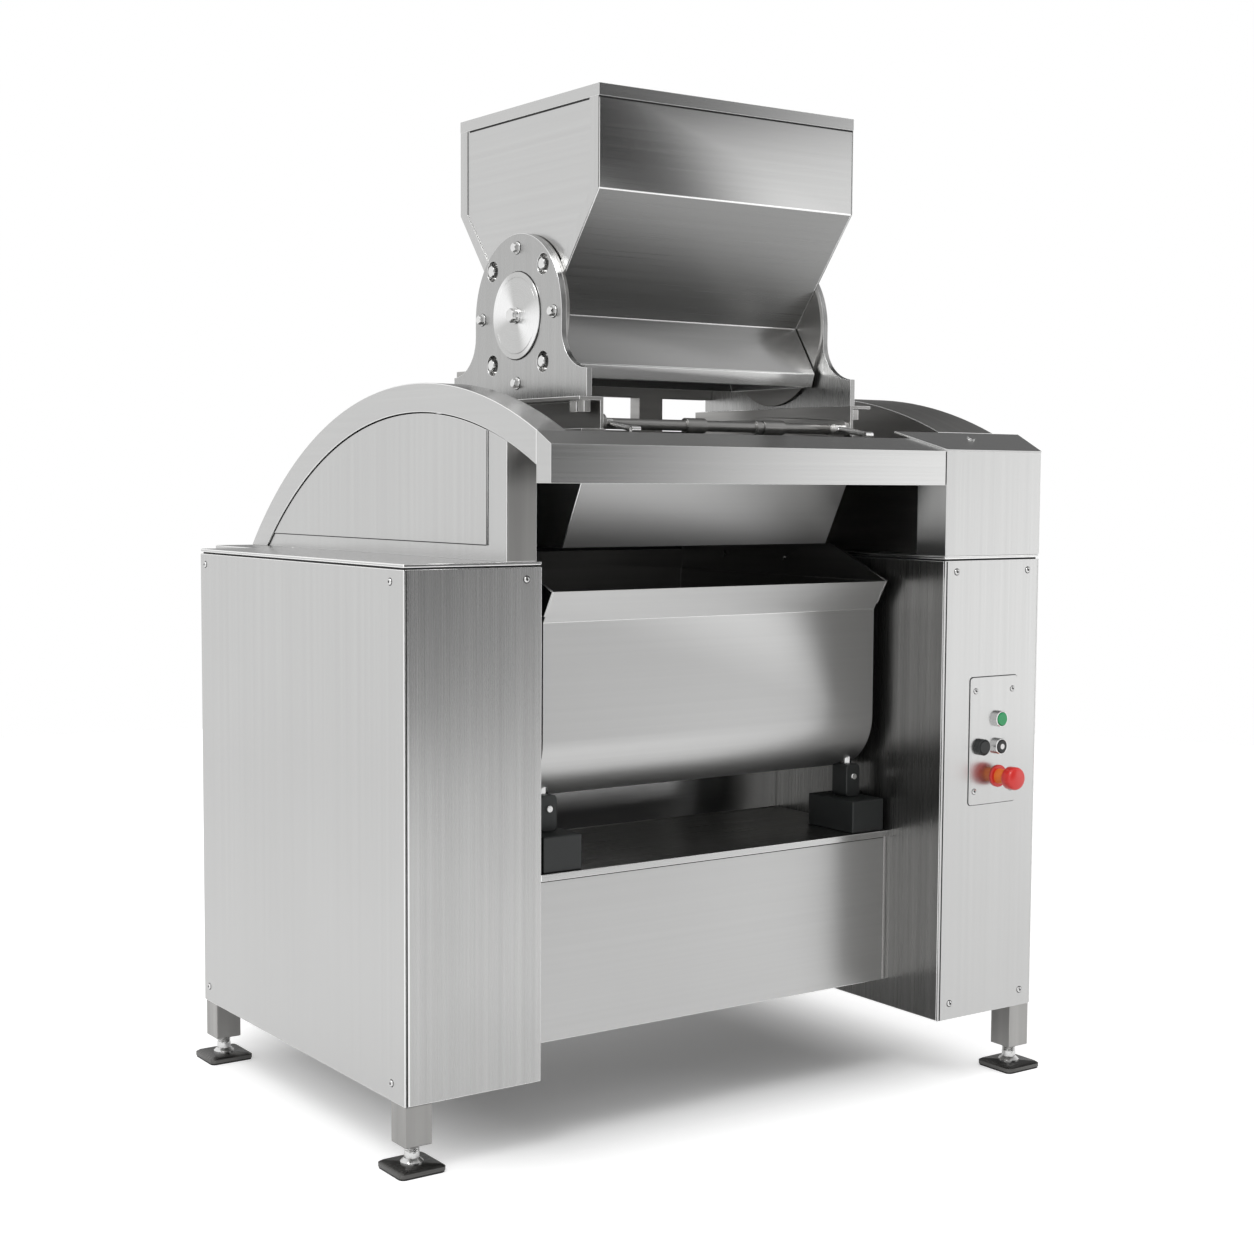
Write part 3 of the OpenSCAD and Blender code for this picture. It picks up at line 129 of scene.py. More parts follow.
# studio light: a white backdrop, and darker cards round it that only reflections see
studio = {
    "plain": 0.9,
    "backdrop": 1.0,
    "darkest": 0.02,
    "cards": [  # azimuth from -Y towards +X, elevation, inner and outer angle, gain
        {"aim": (14, 16), "inner": 21, "outer": 31, "gain": -0.98},
        {"aim": (20, 44), "inner": 13, "outer": 25, "gain": -0.4},
        {"aim": (27, 2), "inner": 4, "outer": 13, "gain": -0.4},
        {"aim": (23, -8), "inner": 5, "outer": 18, "gain": -0.5},
        {"aim": (50, -3), "inner": 5, "outer": 17, "gain": 0.55},
        {"aim": (150, 10), "inner": 8, "outer": 30, "gain": -0.6},
        {"aim": (126, 42), "inner": 12, "outer": 38, "gain": -0.75},
        {"aim": (75, 62), "inner": 10, "outer": 40, "gain": -0.45},
    ],
}


# the gain holds within the inner angle of the aim and falls smoothly to 0 at the outer one
def patchGroup():
    tree, given, result = newGroup(
        "lightPatch",
        [("Direction", "NodeSocketVector", (0, 0, 1)), ("Aim", "NodeSocketVector", (0, 0, 1)),
         ("Inner Cosine", "NodeSocketFloat", 0.9), ("Outer Cosine", "NodeSocketFloat", 0.5),
         ("Gain", "NodeSocketFloat", 0.1)],
        [("Light", "NodeSocketFloat")])
    dot = addNode(tree, "ShaderNodeVectorMath", {0: given["Direction"], 1: given["Aim"]},
                  operation="DOT_PRODUCT")
    ramp = addNode(tree, "ShaderNodeMapRange",
                   {"Value": dot.outputs["Value"], "From Min": given["Outer Cosine"],
                    "From Max": given["Inner Cosine"]}, interpolation_type="SMOOTHSTEP")
    feed(tree, result, {"Light": calculate(tree, "MULTIPLY", ramp.outputs["Result"], given["Gain"])})
    return tree


# 1 for camera, glossy and transmission rays, which all show the same backdrop
def backgroundRays(tree, rays):
    total = 0.0
    for label in ("Is Camera Ray", "Is Glossy Ray", "Is Transmission Ray"):
        total = calculate(tree, "ADD", total, rays.outputs[label], use_clamp=True)
    return total


def lightWorld(studio):
    world = bpy.data.worlds.new("studio")
    bpy.context.scene.world = world
    world.use_nodes = True
    tree = world.node_tree
    tree.nodes.clear()
    way = addNode(tree, "ShaderNodeTexCoord").outputs["Generated"]
    group = patchGroup()
    cards = 0.0
    for entry in studio["cards"]:
        azimuth, elevation = (math.radians(angle) for angle in entry["aim"])
        flat = math.cos(elevation)
        aim = (math.sin(azimuth) * flat, -math.cos(azimuth) * flat, math.sin(elevation))
        inner, outer = (math.cos(math.radians(entry[key])) for key in ("inner", "outer"))
        card = addNode(tree, "ShaderNodeGroup",
                       {"Direction": way, "Aim": aim, "Inner Cosine": inner, "Outer Cosine": outer,
                        "Gain": entry["gain"]}, node_tree=group)
        cards = calculate(tree, "ADD", cards, card.outputs["Light"])
    rays = addNode(tree, "ShaderNodeLightPath")
    hidden = calculate(tree, "SUBTRACT", 1.0, rays.outputs["Is Camera Ray"])
    carded = calculate(tree, "MULTIPLY_ADD", cards, hidden, studio["backdrop"])
    strength = calculate(tree, "MAXIMUM", carded, studio["darkest"])
    white = (1, 1, 1, 1)
    backdrop = addNode(tree, "ShaderNodeBackground", {"Color": white, "Strength": strength})
    plain = addNode(tree, "ShaderNodeBackground", {"Color": white, "Strength": studio["plain"]})
    mix = addNode(tree, "ShaderNodeMixShader",
                  {0: backgroundRays(tree, rays), 1: plain.outputs[0], 2: backdrop.outputs[0]})
    addNode(tree, "ShaderNodeOutputWorld", {"Surface": mix.outputs[0]})


lightWorld(studio)

# soft lamps: one high on the left for the shadow and the edges, one low from the right
lampTarget = Vector((0, 0, 0.8))
lamps = [
    {"name": "keyLamp", "place": (-2.4, -1.2, 4.4), "size": 2.0, "power": 60, "mirrored": True},
    {"name": "sideLamp", "place": (3.6, -3.2, 2.2), "size": 1.6, "power": 26, "mirrored": False},
]


def placeLamps(lamps):
    for lamp in lamps:
        data = bpy.data.lights.new(lamp["name"], "AREA")
        data.shape = "DISK"
        data.size = lamp["size"]
        data.energy = lamp["power"]
        light = bpy.data.objects.new(lamp["name"], data)
        bpy.context.scene.collection.objects.link(light)
        light.location = lamp["place"]
        light.rotation_euler = (lampTarget - light.location).to_track_quat("-Z", "Y").to_euler()
        light.visible_glossy = lamp["mirrored"]


placeLamps(lamps)
print("studio lit:", len(studio["cards"]), "cards and", len(lamps), "lamps")

# brush marks: detail and roughness of the fine and the broad noise, and the broad one's stretch
brush = {"fine": (3.0, 0.7), "broad": (2.0, 0.5), "stretch": (0.3, 0.12, 1)}


# the marks run along U of the piece's own map, which is in metres
def brushGroup():
    tree, given, result = newGroup(
        "brushMarks",
        [("Along", "NodeSocketFloat", 5.0), ("Across", "NodeSocketFloat", 400.0)],
        [("Fine", "NodeSocketFloat"), ("Broad", "NodeSocketFloat")])
    grainMap = addNode(tree, "ShaderNodeUVMap", uv_map="grain")
    scale = addNode(tree, "ShaderNodeCombineXYZ", {"X": given["Along"], "Y": given["Across"]})
    place = addNode(tree, "ShaderNodeVectorMath", {0: grainMap.outputs["UV"], 1: scale.outputs[0]},
                    operation="MULTIPLY")
    slow = addNode(tree, "ShaderNodeVectorMath", {0: place.outputs[0], 1: brush["stretch"]},
                   operation="MULTIPLY")
    for label, key, source in (("Fine", "fine", place), ("Broad", "broad", slow)):
        detail, rough = brush[key]
        noise = addNode(tree, "ShaderNodeTexNoise",
                        {"Vector": source.outputs[0], "Scale": 1.0, "Detail": detail, "Roughness": rough},
                        noise_dimensions="2D")
        feed(tree, result, {label: noise.outputs["Fac"]})
    return tree


brushMarks = brushGroup()
finishes = {}
reliefDepth = 0.0002


def newMaterial(name):
    material = bpy.data.materials.new(name)
    material.use_nodes = True
    tree = material.node_tree
    tree.nodes.clear()
    shader = addNode(tree, "ShaderNodeBsdfPrincipled")
    addNode(tree, "ShaderNodeOutputMaterial", {"Surface": shader.outputs[0]})
    finishes[name] = material
    return tree, shader


# the tone runs from its shaded colour, a share of the full one, to the full one
def mixTone(tree, tone, share, factor):
    shaded = [channel * share for channel in tone]
    return addNode(tree, "ShaderNodeMix", {"Factor": factor, "A": (*shaded, 1), "B": (*tone, 1)},
                   data_type="RGBA").outputs["Result"]


def addBump(tree, height, strength):
    return addNode(tree, "ShaderNodeBump",
                   {"Height": height, "Strength": strength, "Distance": reliefDepth}).outputs["Normal"]


# painted highlight: lighter fans in a turned disc's tone, the cosine of so many times U over the radius,
# turned by an angle, standing in for the radial highlights of its turned grain
paintedHighlightFans = {"discSteel": {"radius": 0.071, "tone": 0.92, "lobes": 2, "turn": 0.9, "least": -0.3}}


def paintedFanHighlight(tree, tone, highlightFan):
    grainMap = addNode(tree, "ShaderNodeUVMap", uv_map="grain")
    parts = addNode(tree, "ShaderNodeSeparateXYZ", {0: grainMap.outputs["UV"]})
    turn = calculate(tree, "MULTIPLY_ADD", parts.outputs["X"], highlightFan["lobes"] / highlightFan["radius"], highlightFan["turn"])
    lobes = addNode(tree, "ShaderNodeMapRange",
                    {"Value": calculate(tree, "COSINE", turn), "From Min": highlightFan["least"], "From Max": 1.0},
                    interpolation_type="SMOOTHSTEP")
    light = highlightFan["tone"]
    return addNode(tree, "ShaderNodeMix",
                   {"Factor": lobes.outputs["Result"], "A": tone, "B": (light, light, light, 1)},
                   data_type="RGBA").outputs["Result"]


# clouds in object space, the span of clouds and marks that shades the tone, and the span of fine marks
steelBase = {"cloudScale": 2.5, "cloudDetail": 3.0, "shading": (0.7, 1.3), "marks": (0.3, 0.7),
             "highlightTurn": 0.25}


# roughness and tone follow the marks, and slow clouds in object space vary both a little
def steelFinish(name, look):
    tree, shader = newMaterial(name)
    marks = addNode(tree, "ShaderNodeGroup", {"Along": look["along"], "Across": look["across"]},
                    node_tree=brushMarks).outputs
    clouds = addNode(tree, "ShaderNodeTexNoise",
                     {"Vector": addNode(tree, "ShaderNodeTexCoord").outputs["Object"],
                      "Scale": steelBase["cloudScale"], "Detail": steelBase["cloudDetail"]})
    low, high = steelBase["shading"]
    share = addNode(tree, "ShaderNodeMapRange",
                    {"Value": calculate(tree, "ADD", marks["Broad"], clouds.outputs["Fac"]),
                     "From Min": low, "From Max": high})
    tone = mixTone(tree, look["tone"], 1 - look["depth"], share.outputs["Result"])
    # turned discs get painted highlight fans over their tone
    if name in paintedHighlightFans:
        tone = paintedFanHighlight(tree, tone, paintedHighlightFans[name])
    low, high = steelBase["marks"]
    rough = addNode(tree, "ShaderNodeMapRange",
                    {"Value": marks["Fine"], "From Min": low, "From Max": high,
                     "To Min": look["rough"] - look["roughSpread"],
                     "To Max": look["rough"] + look["roughSpread"]})
    tangent = addNode(tree, "ShaderNodeTangent", direction_type="UV_MAP", uv_map="grain")
    feed(tree, shader, {"Base Color": tone, "Roughness": rough.outputs["Result"],
                        "Normal": addBump(tree, marks["Fine"], look["relief"]),
                        "Tangent": tangent.outputs["Tangent"], "Metallic": 1.0,
                        "Anisotropic": look["aniso"], "Anisotropic Rotation": steelBase["highlightTurn"]})


# marks are counted per metre, along and across the grain
steelColumns = ("tone", "depth", "rough", "roughSpread", "aniso", "relief", "along", "across")
steels = {
    "sheetSteel": ((0.57, 0.57, 0.566), 0.045, 0.23, 0.02, 0.6, 0.03, 1.8, 900),
    "smoothSteel": ((0.56, 0.56, 0.556), 0.045, 0.2, 0.02, 0.2, 0.03, 1.8, 900),
    "softSteel": ((0.61, 0.61, 0.606), 0.04, 0.38, 0.03, 0.5, 0.03, 1.8, 900),
    "plateSteel": ((0.45, 0.45, 0.446), 0.06, 0.28, 0.04, 0.4, 0.05, 2, 700),
    # a darker copy of the sheet for the hopper's slope: painted shade
    "slopeShadeSteel": ((0.31, 0.31, 0.307), 0.05, 0.3, 0.03, 0.5, 0.03, 1.8, 900),
    "streakSteel": ((0.54, 0.54, 0.536), 0.13, 0.26, 0.035, 0.5, 0.06, 1.2, 700),
    # a lighter copy of the steel for bevelled folds, fold strips and the stay rods: painted highlight
    "foldHighlightSteel": ((0.95, 0.95, 0.945), 0.08, 0.2, 0.03, 0.2, 0.05, 6, 300),
    "brightSteel": ((0.76, 0.76, 0.755), 0.1, 0.2, 0.04, 0.4, 0.06, 6, 600),
    "dullSteel": ((0.44, 0.435, 0.425), 0.22, 0.36, 0.05, 0.25, 0.12, 6, 300),
    # a darker copy for inner panels, deck, rear panel, door, shelf top and the deck's upstand: painted
    # shade
    "shadeSteel": ((0.27, 0.268, 0.262), 0.2, 0.3, 0.05, 0.4, 0.1, 3, 600),
    # a darker copy for the trough's liner and insides: painted shade in the hollow
    "innerSteel": ((0.22, 0.218, 0.214), 0.15, 0.34, 0.03, 0.3, 0.04, 1.8, 700),
    "darkSteel": ((0.15, 0.148, 0.144), 0.25, 0.3, 0.06, 0.2, 0.12, 6, 300),
    "discSteel": ((0.55, 0.55, 0.545), 0.05, 0.26, 0.03, 0.7, 0.05, 1.5, 1400),
    "castIron": ((0.2, 0.2, 0.2), 0.3, 0.45, 0.1, 0.0, 0.4, 200, 200),
}
for name, row in steels.items():
    steelFinish(name, dict(zip(steelColumns, row)))

plainBase = {"grainDetail": 4.0, "cloudScale": 14.0, "cloudDetail": 2.0, "shade": 0.8, "spread": 0.06}


# plastics, rubber and paint: a fine grain gives the gloss its break-up
def plainFinish(name, look):
    tree, shader = newMaterial(name)
    place = addNode(tree, "ShaderNodeTexCoord").outputs["Object"]
    grain = addNode(tree, "ShaderNodeTexNoise",
                    {"Vector": place, "Scale": look["grain"], "Detail": plainBase["grainDetail"]})
    clouds = addNode(tree, "ShaderNodeTexNoise",
                     {"Vector": place, "Scale": plainBase["cloudScale"],
                      "Detail": plainBase["cloudDetail"]})
    spread = plainBase["spread"]
    rough = addNode(tree, "ShaderNodeMapRange",
                    {"Value": grain.outputs["Fac"], "To Min": look["rough"] - spread,
                     "To Max": look["rough"] + spread})
    tone = mixTone(tree, look["tone"], plainBase["shade"], clouds.outputs["Fac"])
    feed(tree, shader, {"Base Color": tone, "Roughness": rough.outputs["Result"],
                        "Normal": addBump(tree, grain.outputs["Fac"], look["relief"]),
                        "Metallic": 0.0, "Coat Weight": look["coat"]})


plainColumns = ("tone", "rough", "grain", "relief", "coat")
plains = {
    "blackPlastic": ((0.018, 0.02, 0.02), 0.42, 900, 0.25, 0.0),
    "blackRubber": ((0.015, 0.015, 0.015), 0.7, 700, 0.4, 0.0),
    "greenPlastic": ((0.0, 0.30, 0.09), 0.3, 500, 0.05, 0.3),
    "redPlastic": ((0.72, 0.025, 0.02), 0.3, 500, 0.05, 0.3),
    "gapBlack": ((0.012, 0.012, 0.012), 0.8, 500, 0.05, 0.0),
    "orangePlastic": ((0.85, 0.2, 0.03), 0.4, 500, 0.05, 0.0),
    "whitePlastic": ((0.8, 0.8, 0.8), 0.4, 500, 0.05, 0.0),
    "motorPaint": ((0.06, 0.12, 0.2), 0.4, 300, 0.3, 0.2),
}
for name, row in plains.items():
    plainFinish(name, dict(zip(plainColumns, row)))
print("finishes made:", len(finishes))


# one attribute of all of a mesh's elements as an array
def readArray(elements, key, width=1, kind=float):
    values = np.empty(len(elements) * width, kind)
    elements.foreach_get(key, values)
    return values.reshape(-1, width) if width > 1 else values


# faces whose normal is this close to the grain take their marks along the next axis
weakGrain = 0.3


# U runs along the grain laid flat on each face, V across it, both in metres
def mapGrain(mesh, grain):
    layer = mesh.uv_layers.get("grain") or mesh.uv_layers.new(name="grain")
    grain = np.array(grain, float)
    normals = readArray(mesh.polygons, "normal", 3)
    totals = readArray(mesh.polygons, "loop_total", kind=int)
    along = grain - (normals @ grain)[:, None] * normals
    weak = np.linalg.norm(along, axis=1) < weakGrain
    spare = np.roll(grain, 1)
    along[weak] = spare - (normals[weak] @ spare)[:, None] * normals[weak]
    along /= np.maximum(np.linalg.norm(along, axis=1), 1e-9)[:, None]
    across = np.cross(normals, along)
    places = readArray(mesh.vertices, "co", 3)[readArray(mesh.loops, "vertex_index", kind=int)]
    face = np.repeat(np.arange(len(totals)), totals)
    flat = np.stack([(places * along[face]).sum(1), (places * across[face]).sum(1)], 1)
    layer.data.foreach_set("uv", flat.ravel())


def camel(name):
    words = name.split("_")
    return words[0] + "".join(word.capitalize() for word in words[1:])


# stands says whether the piece replaces its node or only rides with it
def showPiece(name, mesh, node, finish, stands=True):
    piece = bpy.data.objects.new(name, mesh)
    bpy.context.scene.collection.objects.link(piece)
    mesh.materials.clear()
    mesh.materials.append(finishes[finish])
    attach(piece, bodyOf[node])
    if stands:
        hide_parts(node)
    return piece


# distances under which points are one, degrees up to which faces are flat or smooth, bevel steps
clean = {"merge": 2e-6, "join": 1e-6, "sliver": 1e-7, "flat": 0.6, "sharp": 30, "edgeSteps": 2}


# the bevel's faces take the fold finish where one is given, a lighter steel that paints a highlight along
# the edge
def roundEdges(piece, width, foldHighlight):
    bevel = piece.modifiers.new("roundEdges", "BEVEL")
    if foldHighlight:
        piece.data.materials.append(finishes[foldHighlight])
        bevel.material = 1
    bevel.width = width
    bevel.segments = clean["edgeSteps"]
    bevel.limit_method = "ANGLE"
    bevel.angle_limit = math.radians(clean["sharp"])
    bevel.harden_normals = True


# rotor shafts are drawn a little thinner than their holes, so that no facets touch as they turn
shafts = {"radius": 0.025, "band": 0.0006, "drawn": 0.0246,
          "axes": {"front_rotor": (-0.206, 0.688), "rear_rotor": (0.074, 0.688)}}


def thinShaft(mesh, node):
    centre = np.array(shafts["axes"][node])
    points = readArray(mesh.vertices, "co", 3)
    offset = points[:, 1:] - centre
    radius = np.linalg.norm(offset, axis=1)
    near = np.abs(radius - shafts["radius"]) < shafts["band"]
    points[near, 1:] = centre + offset[near] * (shafts["drawn"] / radius[near])[:, None]
    mesh.vertices.foreach_set("co", points.ravel())


# a merged copy of a node, with its flat faces joined, its edges rounded and its grain laid on
def dressNode(node, finish, grain, edge, foldHighlight, facing):
    mesh = nodes[node].data.copy()
    mesh.name = camel(node)
    work = bmesh.new()
    work.from_mesh(mesh)
    bmesh.ops.remove_doubles(work, verts=work.verts, dist=clean["merge"])
    bmesh.ops.dissolve_limit(work, angle_limit=math.radians(clean["flat"]), verts=work.verts,
                             edges=work.edges)
    work.to_mesh(mesh)
    work.free()
    if node in shafts["axes"]:
        thinShaft(mesh, node)
    mapGrain(mesh, grain)
    mesh.shade_smooth()
    mesh.set_sharp_from_angle(angle=math.radians(clean["sharp"]))
    piece = showPiece(camel(node), mesh, node, finish)
    if edge:
        roundEdges(piece, edge, foldHighlight)
    for test, own in facing:
        chosen = test(readArray(mesh.polygons, "normal", 3), readArray(mesh.polygons, "center", 3))
        index = readArray(mesh.polygons, "material_index", kind=int)
        mesh.materials.append(finishes[own])
        mesh.polygons.foreach_set("material_index", np.where(chosen, len(mesh.materials) - 1, index))


# the finish of the folded edges is a lighter steel, a painted highlight along them
dressed = [  # finish, grain, edge radius, finish of the folded edges, nodes
    ("sheetSteel", upright, 0.0022, "foldHighlightSteel",
     ["left_side_panel", "right_side_panel", "right_front_panel", "rear_panels"]),
    ("streakSteel", upright, 0.0022, "foldHighlightSteel", ["left_front_panel"]),
    # the inner panels take the shaded copy of the steel: painted shade between the columns
    ("shadeSteel", upright, 0.0015, "foldHighlightSteel", ["left_inner_panel", "right_inner_panel"]),
    ("sheetSteel", upright, 0.002, "foldHighlightSteel", ["rear_housings", "right_upper_box"]),
    ("sheetSteel", deep, 0.002, "foldHighlightSteel", ["lids", "left_arch_band"]),
    ("sheetSteel", level, 0.002, "foldHighlightSteel", ["front_beam", "hopper_shell"]),
    ("sheetSteel", upright, 0.0012, "foldHighlightSteel", ["left_guard_box"]),
    ("plateSteel", upright, 0.0012, "foldHighlightSteel", ["trunnion_plates"]),
    ("softSteel", level, 0.0012, "foldHighlightSteel", ["feed_chute", "trough_shell", "apron"]),
    ("sheetSteel", level, 0.0009, "foldHighlightSteel", ["shelf"]),
    ("sheetSteel", level, 0.0004, "foldHighlightSteel", ["hopper_rim"]),
    ("sheetSteel", upright, 0.0006, None, ["hopper_edge_strips"]),
    ("sheetSteel", deep, 0.0012, "foldHighlightSteel", ["trough_cheeks"]),
    # the trough's liner and door take darker copies of the steel: painted shade inside the trough
    ("innerSteel", level, 0.0006, None, ["trough_liner"]),
    ("shadeSteel", level, 0.0006, None, ["discharge_door"]),
    ("dullSteel", upright, 0.0015, None, ["column_frames", "legs"]),
    ("dullSteel", deep, 0.001, "foldHighlightSteel", ["right_arch_cover", "saddles"]),
    ("dullSteel", level, 0.001, None, ["saddle_linkage", "rear_rail", "cross_beams", "trunnion_flanges"]),
    ("dullSteel", level, 0, None, ["front_rotor", "rear_rotor"]),
    # deck and rear panel take the shaded copy: painted shade under the hopper and behind the trough
    ("shadeSteel", level, 0.001, None, ["top_deck", "rear_upper_panel"]),
    ("brightSteel", upright, 0.0006, None, ["gate_shaft", "gate_flap", "door_hinge"]),
    ("foldHighlightSteel", upright, 0.001, None, ["stay_rods"]),
    ("castIron", level, 0.001, None, ["belt_wheel", "drive_pulley", "rotor_bearings"]),
    ("castIron", level, 0, None, ["front_gear", "rear_gear"]),
    ("blackPlastic", upright, 0.002, None, ["rest_blocks"]),
    ("blackRubber", level, 0.0005, None, ["lid_seals", "drive_belt"]),
    ("motorPaint", level, 0.003, None, ["gear_motor"]),
]


# faces whose normal leans towards a way by more than a cosine
def leaning(way, least=0.8):
    way = np.array(way, float) / np.linalg.norm(way)
    return lambda normals, centres: normals @ way > least


# faces of a hollow thing that look towards a point inside it and lie above a height
def inward(point, above=0.0):
    point = np.array(point)
    return lambda normals, centres: ((normals * (point - centres)).sum(1) > 0) & (centres[:, 2] > above)


insideTrough = inward((0, -0.08, 0.86))
facings = {  # rules that give some of a node's faces a finish of their own
    # the shelf's top takes the shaded copy: painted shade under the trough
    "shelf": [(leaning(upright), "shadeSteel")],
    # the guard box's front takes a darker steel than the box: painted shade
    "left_guard_box": [(leaning(forward), "dullSteel")],
    # the hopper's slope takes the darker copy, painted shade, and its front a smoother one
    "hopper_shell": [(leaning((0, -0.45, -0.9)), "slopeShadeSteel"), (leaning(forward, 0.99), "smoothSteel"),
                     # the hopper's inner walls near the top take the lighter bright steel: painted light
                     (inward((0, -0.17, 1.55), above=1.35), "brightSteel")],
    # the trough's insides take the darker copy: painted shade
    "trough_shell": [(insideTrough, "innerSteel")],
    "trough_cheeks": [(insideTrough, "innerSteel")],
}
for finish, grain, edge, foldHighlight, group in dressed:
    for node in group:
        dressNode(node, finish, grain, edge, foldHighlight, facings.get(node, ()))
print("nodes dressed:", sum(len(entry[-1]) for entry in dressed))


# boxes of a node's separate solids: every edge pulls both ends to the lower label until none changes
def solidBoxes(node):
    work = bmesh.new()
    work.from_mesh(nodes[node].data)
    bmesh.ops.remove_doubles(work, verts=work.verts, dist=clean["merge"])
    work.verts.index_update()
    points = np.array([vertex.co[:] for vertex in work.verts])
    edges = np.array([[vertex.index for vertex in edge.verts] for edge in work.edges])
    work.free()
    label = np.arange(len(points))
    settled = False
    while not settled:
        lowest = np.minimum(label[edges[:, 0]], label[edges[:, 1]])
        before = label.copy()
        np.minimum.at(label, edges[:, 0], lowest)
        np.minimum.at(label, edges[:, 1], lowest)
        settled = bool((label == before).all())
    return [(points[label == one].min(0), points[label == one].max(0)) for one in np.unique(label)]


# quads join closed rings of points, and the grain map holds the lengths round and between the rings
def surfaceMesh(name, points):
    rings, columns = points.shape[:2]
    closed = np.concatenate([points, points[:, :1]], 1)
    between = np.linalg.norm(np.diff(closed, axis=0), axis=2).max(1)
    around = np.linalg.norm(np.diff(closed, axis=1), axis=2).max(0)
    down, along = (np.concatenate([[0], np.cumsum(lengths)]) for lengths in (between, around))
    grid = np.meshgrid(np.arange(rings - 1), np.arange(columns), indexing="ij")
    i, j = (part.ravel() for part in grid)
    corners = [(i, j), (i, j + 1), (i + 1, j + 1), (i + 1, j)]
    quads = np.stack([a * columns + b % columns for a, b in corners], 1)
    flat = np.stack([np.stack([along[b], down[a]], 1) for a, b in corners], 1)
    mesh = bpy.data.meshes.new(name)
    mesh.from_pydata(points.reshape(-1, 3).tolist(), [], quads.tolist())
    mesh.uv_layers.new(name="grain").data.foreach_set("uv", flat.ravel())
    return mesh


# closes poles and seams, turns the faces outwards and smooths what is under the angle
def joinMeshes(name, meshes, angle=clean["sharp"]):
    joined = bmesh.new()
    for mesh in meshes:
        joined.from_mesh(mesh)
        bpy.data.meshes.remove(mesh)
    bmesh.ops.remove_doubles(joined, verts=joined.verts, dist=clean["join"])
    bmesh.ops.dissolve_degenerate(joined, edges=joined.edges, dist=clean["sliver"])
    bmesh.ops.recalc_face_normals(joined, faces=joined.faces)
    mesh = bpy.data.meshes.new(name)
    joined.to_mesh(mesh)
    joined.free()
    mesh.shade_smooth()
    mesh.set_sharp_from_angle(angle=math.radians(angle))
    return mesh


# an axis of length 1 and two directions square to it
def crossAxes(axis):
    axis = np.array(axis, float)
    axis /= np.linalg.norm(axis)
    first = np.cross(axis, upright if abs(axis[2]) < 0.9 else deep)
    first /= np.linalg.norm(first)
    return axis, first, np.cross(axis, first)


# a profile of radius and height turned about an axis; flats says which radii become hexagons, by
# dividing them by the cosine of the angle to the nearest flat's middle
def turnedMesh(name, profile, centre, axis, steps=48, flats=None):
    axis, first, second = crossAxes(axis)
    profile = np.array(profile, float)
    turn = np.arange(steps) * 2 * np.pi / steps
    radius = np.repeat(profile[:, :1], steps, 1)
    if flats is not None:
        corner = 1 / np.cos((turn + np.pi / 6) % (np.pi / 3) - np.pi / 6)
        radius = np.where(np.array(flats)[:, None], radius * corner, radius)
    around = np.cos(turn)[:, None] * first + np.sin(turn)[:, None] * second
    points = np.array(centre) + radius[..., None] * around + profile[:, 1][:, None, None] * axis
    return surfaceMesh(name, points)


# shares of the half width and of the width across flats
hexHead = {"crown": 0.9, "shoulder": 0.96, "crownDrop": 0.02, "chamfer": 0.09}


# hexagon whose top corners are cut by a cone, as a turned bar end is
def hexBoltMesh(name, centre, axis, across, height):
    half = across / 2
    profile = [(0, height), (half * hexHead["crown"], height),
               (half * hexHead["shoulder"], height - across * hexHead["crownDrop"]),
               (half, height - across * hexHead["chamfer"]), (half, 0), (0, 0)]
    return turnedMesh(name, profile, centre, axis, flats=[False, False, False, True, True, False])


# shares of a screw head's radius and height: a dome, then the six-sided socket down to its floor
screwProfile = [(1, 0), (1, 0.25), (0.9, 0.6), (0.66, 0.9), (0.5, 1), (0.42, 1), (0.4, 0.3), (0, 0.2)]


def socketScrewMesh(name, centre, axis, radius, height):
    profile = np.array(screwProfile) * (radius, height)
    return turnedMesh(name, profile, centre, axis, flats=[False] * 5 + [True, True, False])


rim = {"straight": 0.7, "cut": 0.3}  # shares of a washer's thickness


def washerMesh(base, axis, radius, thick):
    profile = [(0, 0), (radius, 0), (radius, thick * rim["straight"]),
               (radius - thick * rim["cut"], thick), (0, thick)]
    return turnedMesh("washer", profile, base, axis)


# away is the number of the axis a fastener stands on and the side it points to
def fastenerAxis(low, high, away):
    sizes = high - low
    axis = np.zeros(3)
    axis[away[0]] = away[1]
    base = (low + high) / 2 - axis * sizes[away[0]] / 2
    return base, axis, sizes


# fold strips paint highlights, and the dark strips at hems and seats paint shadow as well as joints
lineRise = 0.0002  # height of drawn joints, folds and shadows over their surface
seats = []


# a flat dark ring at the seat of a screw, bolt or cap: a dark joint round it, with painted shadow under
# its edge
def seatMesh(base, axis, inner, outer):
    ring = [(inner, 0), (outer, 0), (outer, lineRise), (inner, lineRise), (inner, 0)]
    return turnedMesh("seat", ring, base, axis, steps=32)


# shares of a screw head's radius and height
# the socket is a dark disc down in a screw's socket: painted shade in the recess
screwLook = {"seat": (0.98, 1.22), "socket": [(0, 0.3), (0.38, 0.34), (0, 0.36)]}


def fitScrews(look):
    screws = []
    for low, high in solidBoxes("panel_screws"):
        side = int(np.argmin(high - low))
        sign = -1 if side == 1 or low[side] < 0 else 1
        base, axis, sizes = fastenerAxis(low, high, (side, sign))
        radius, height = sizes[2] / 2, sizes[side]
        screws.append(socketScrewMesh("screw", base, axis, radius, height))
        seats.append(seatMesh(base, axis, *(radius * share for share in look["seat"])))
        socket = np.array(look["socket"]) * (radius, height)
        seats.append(turnedMesh("socket", socket, base, axis, steps=24))
    showPiece("panelScrews", joinMeshes("panelScrews", screws), "panel_screws", "brightSteel")


fitScrews(screwLook)

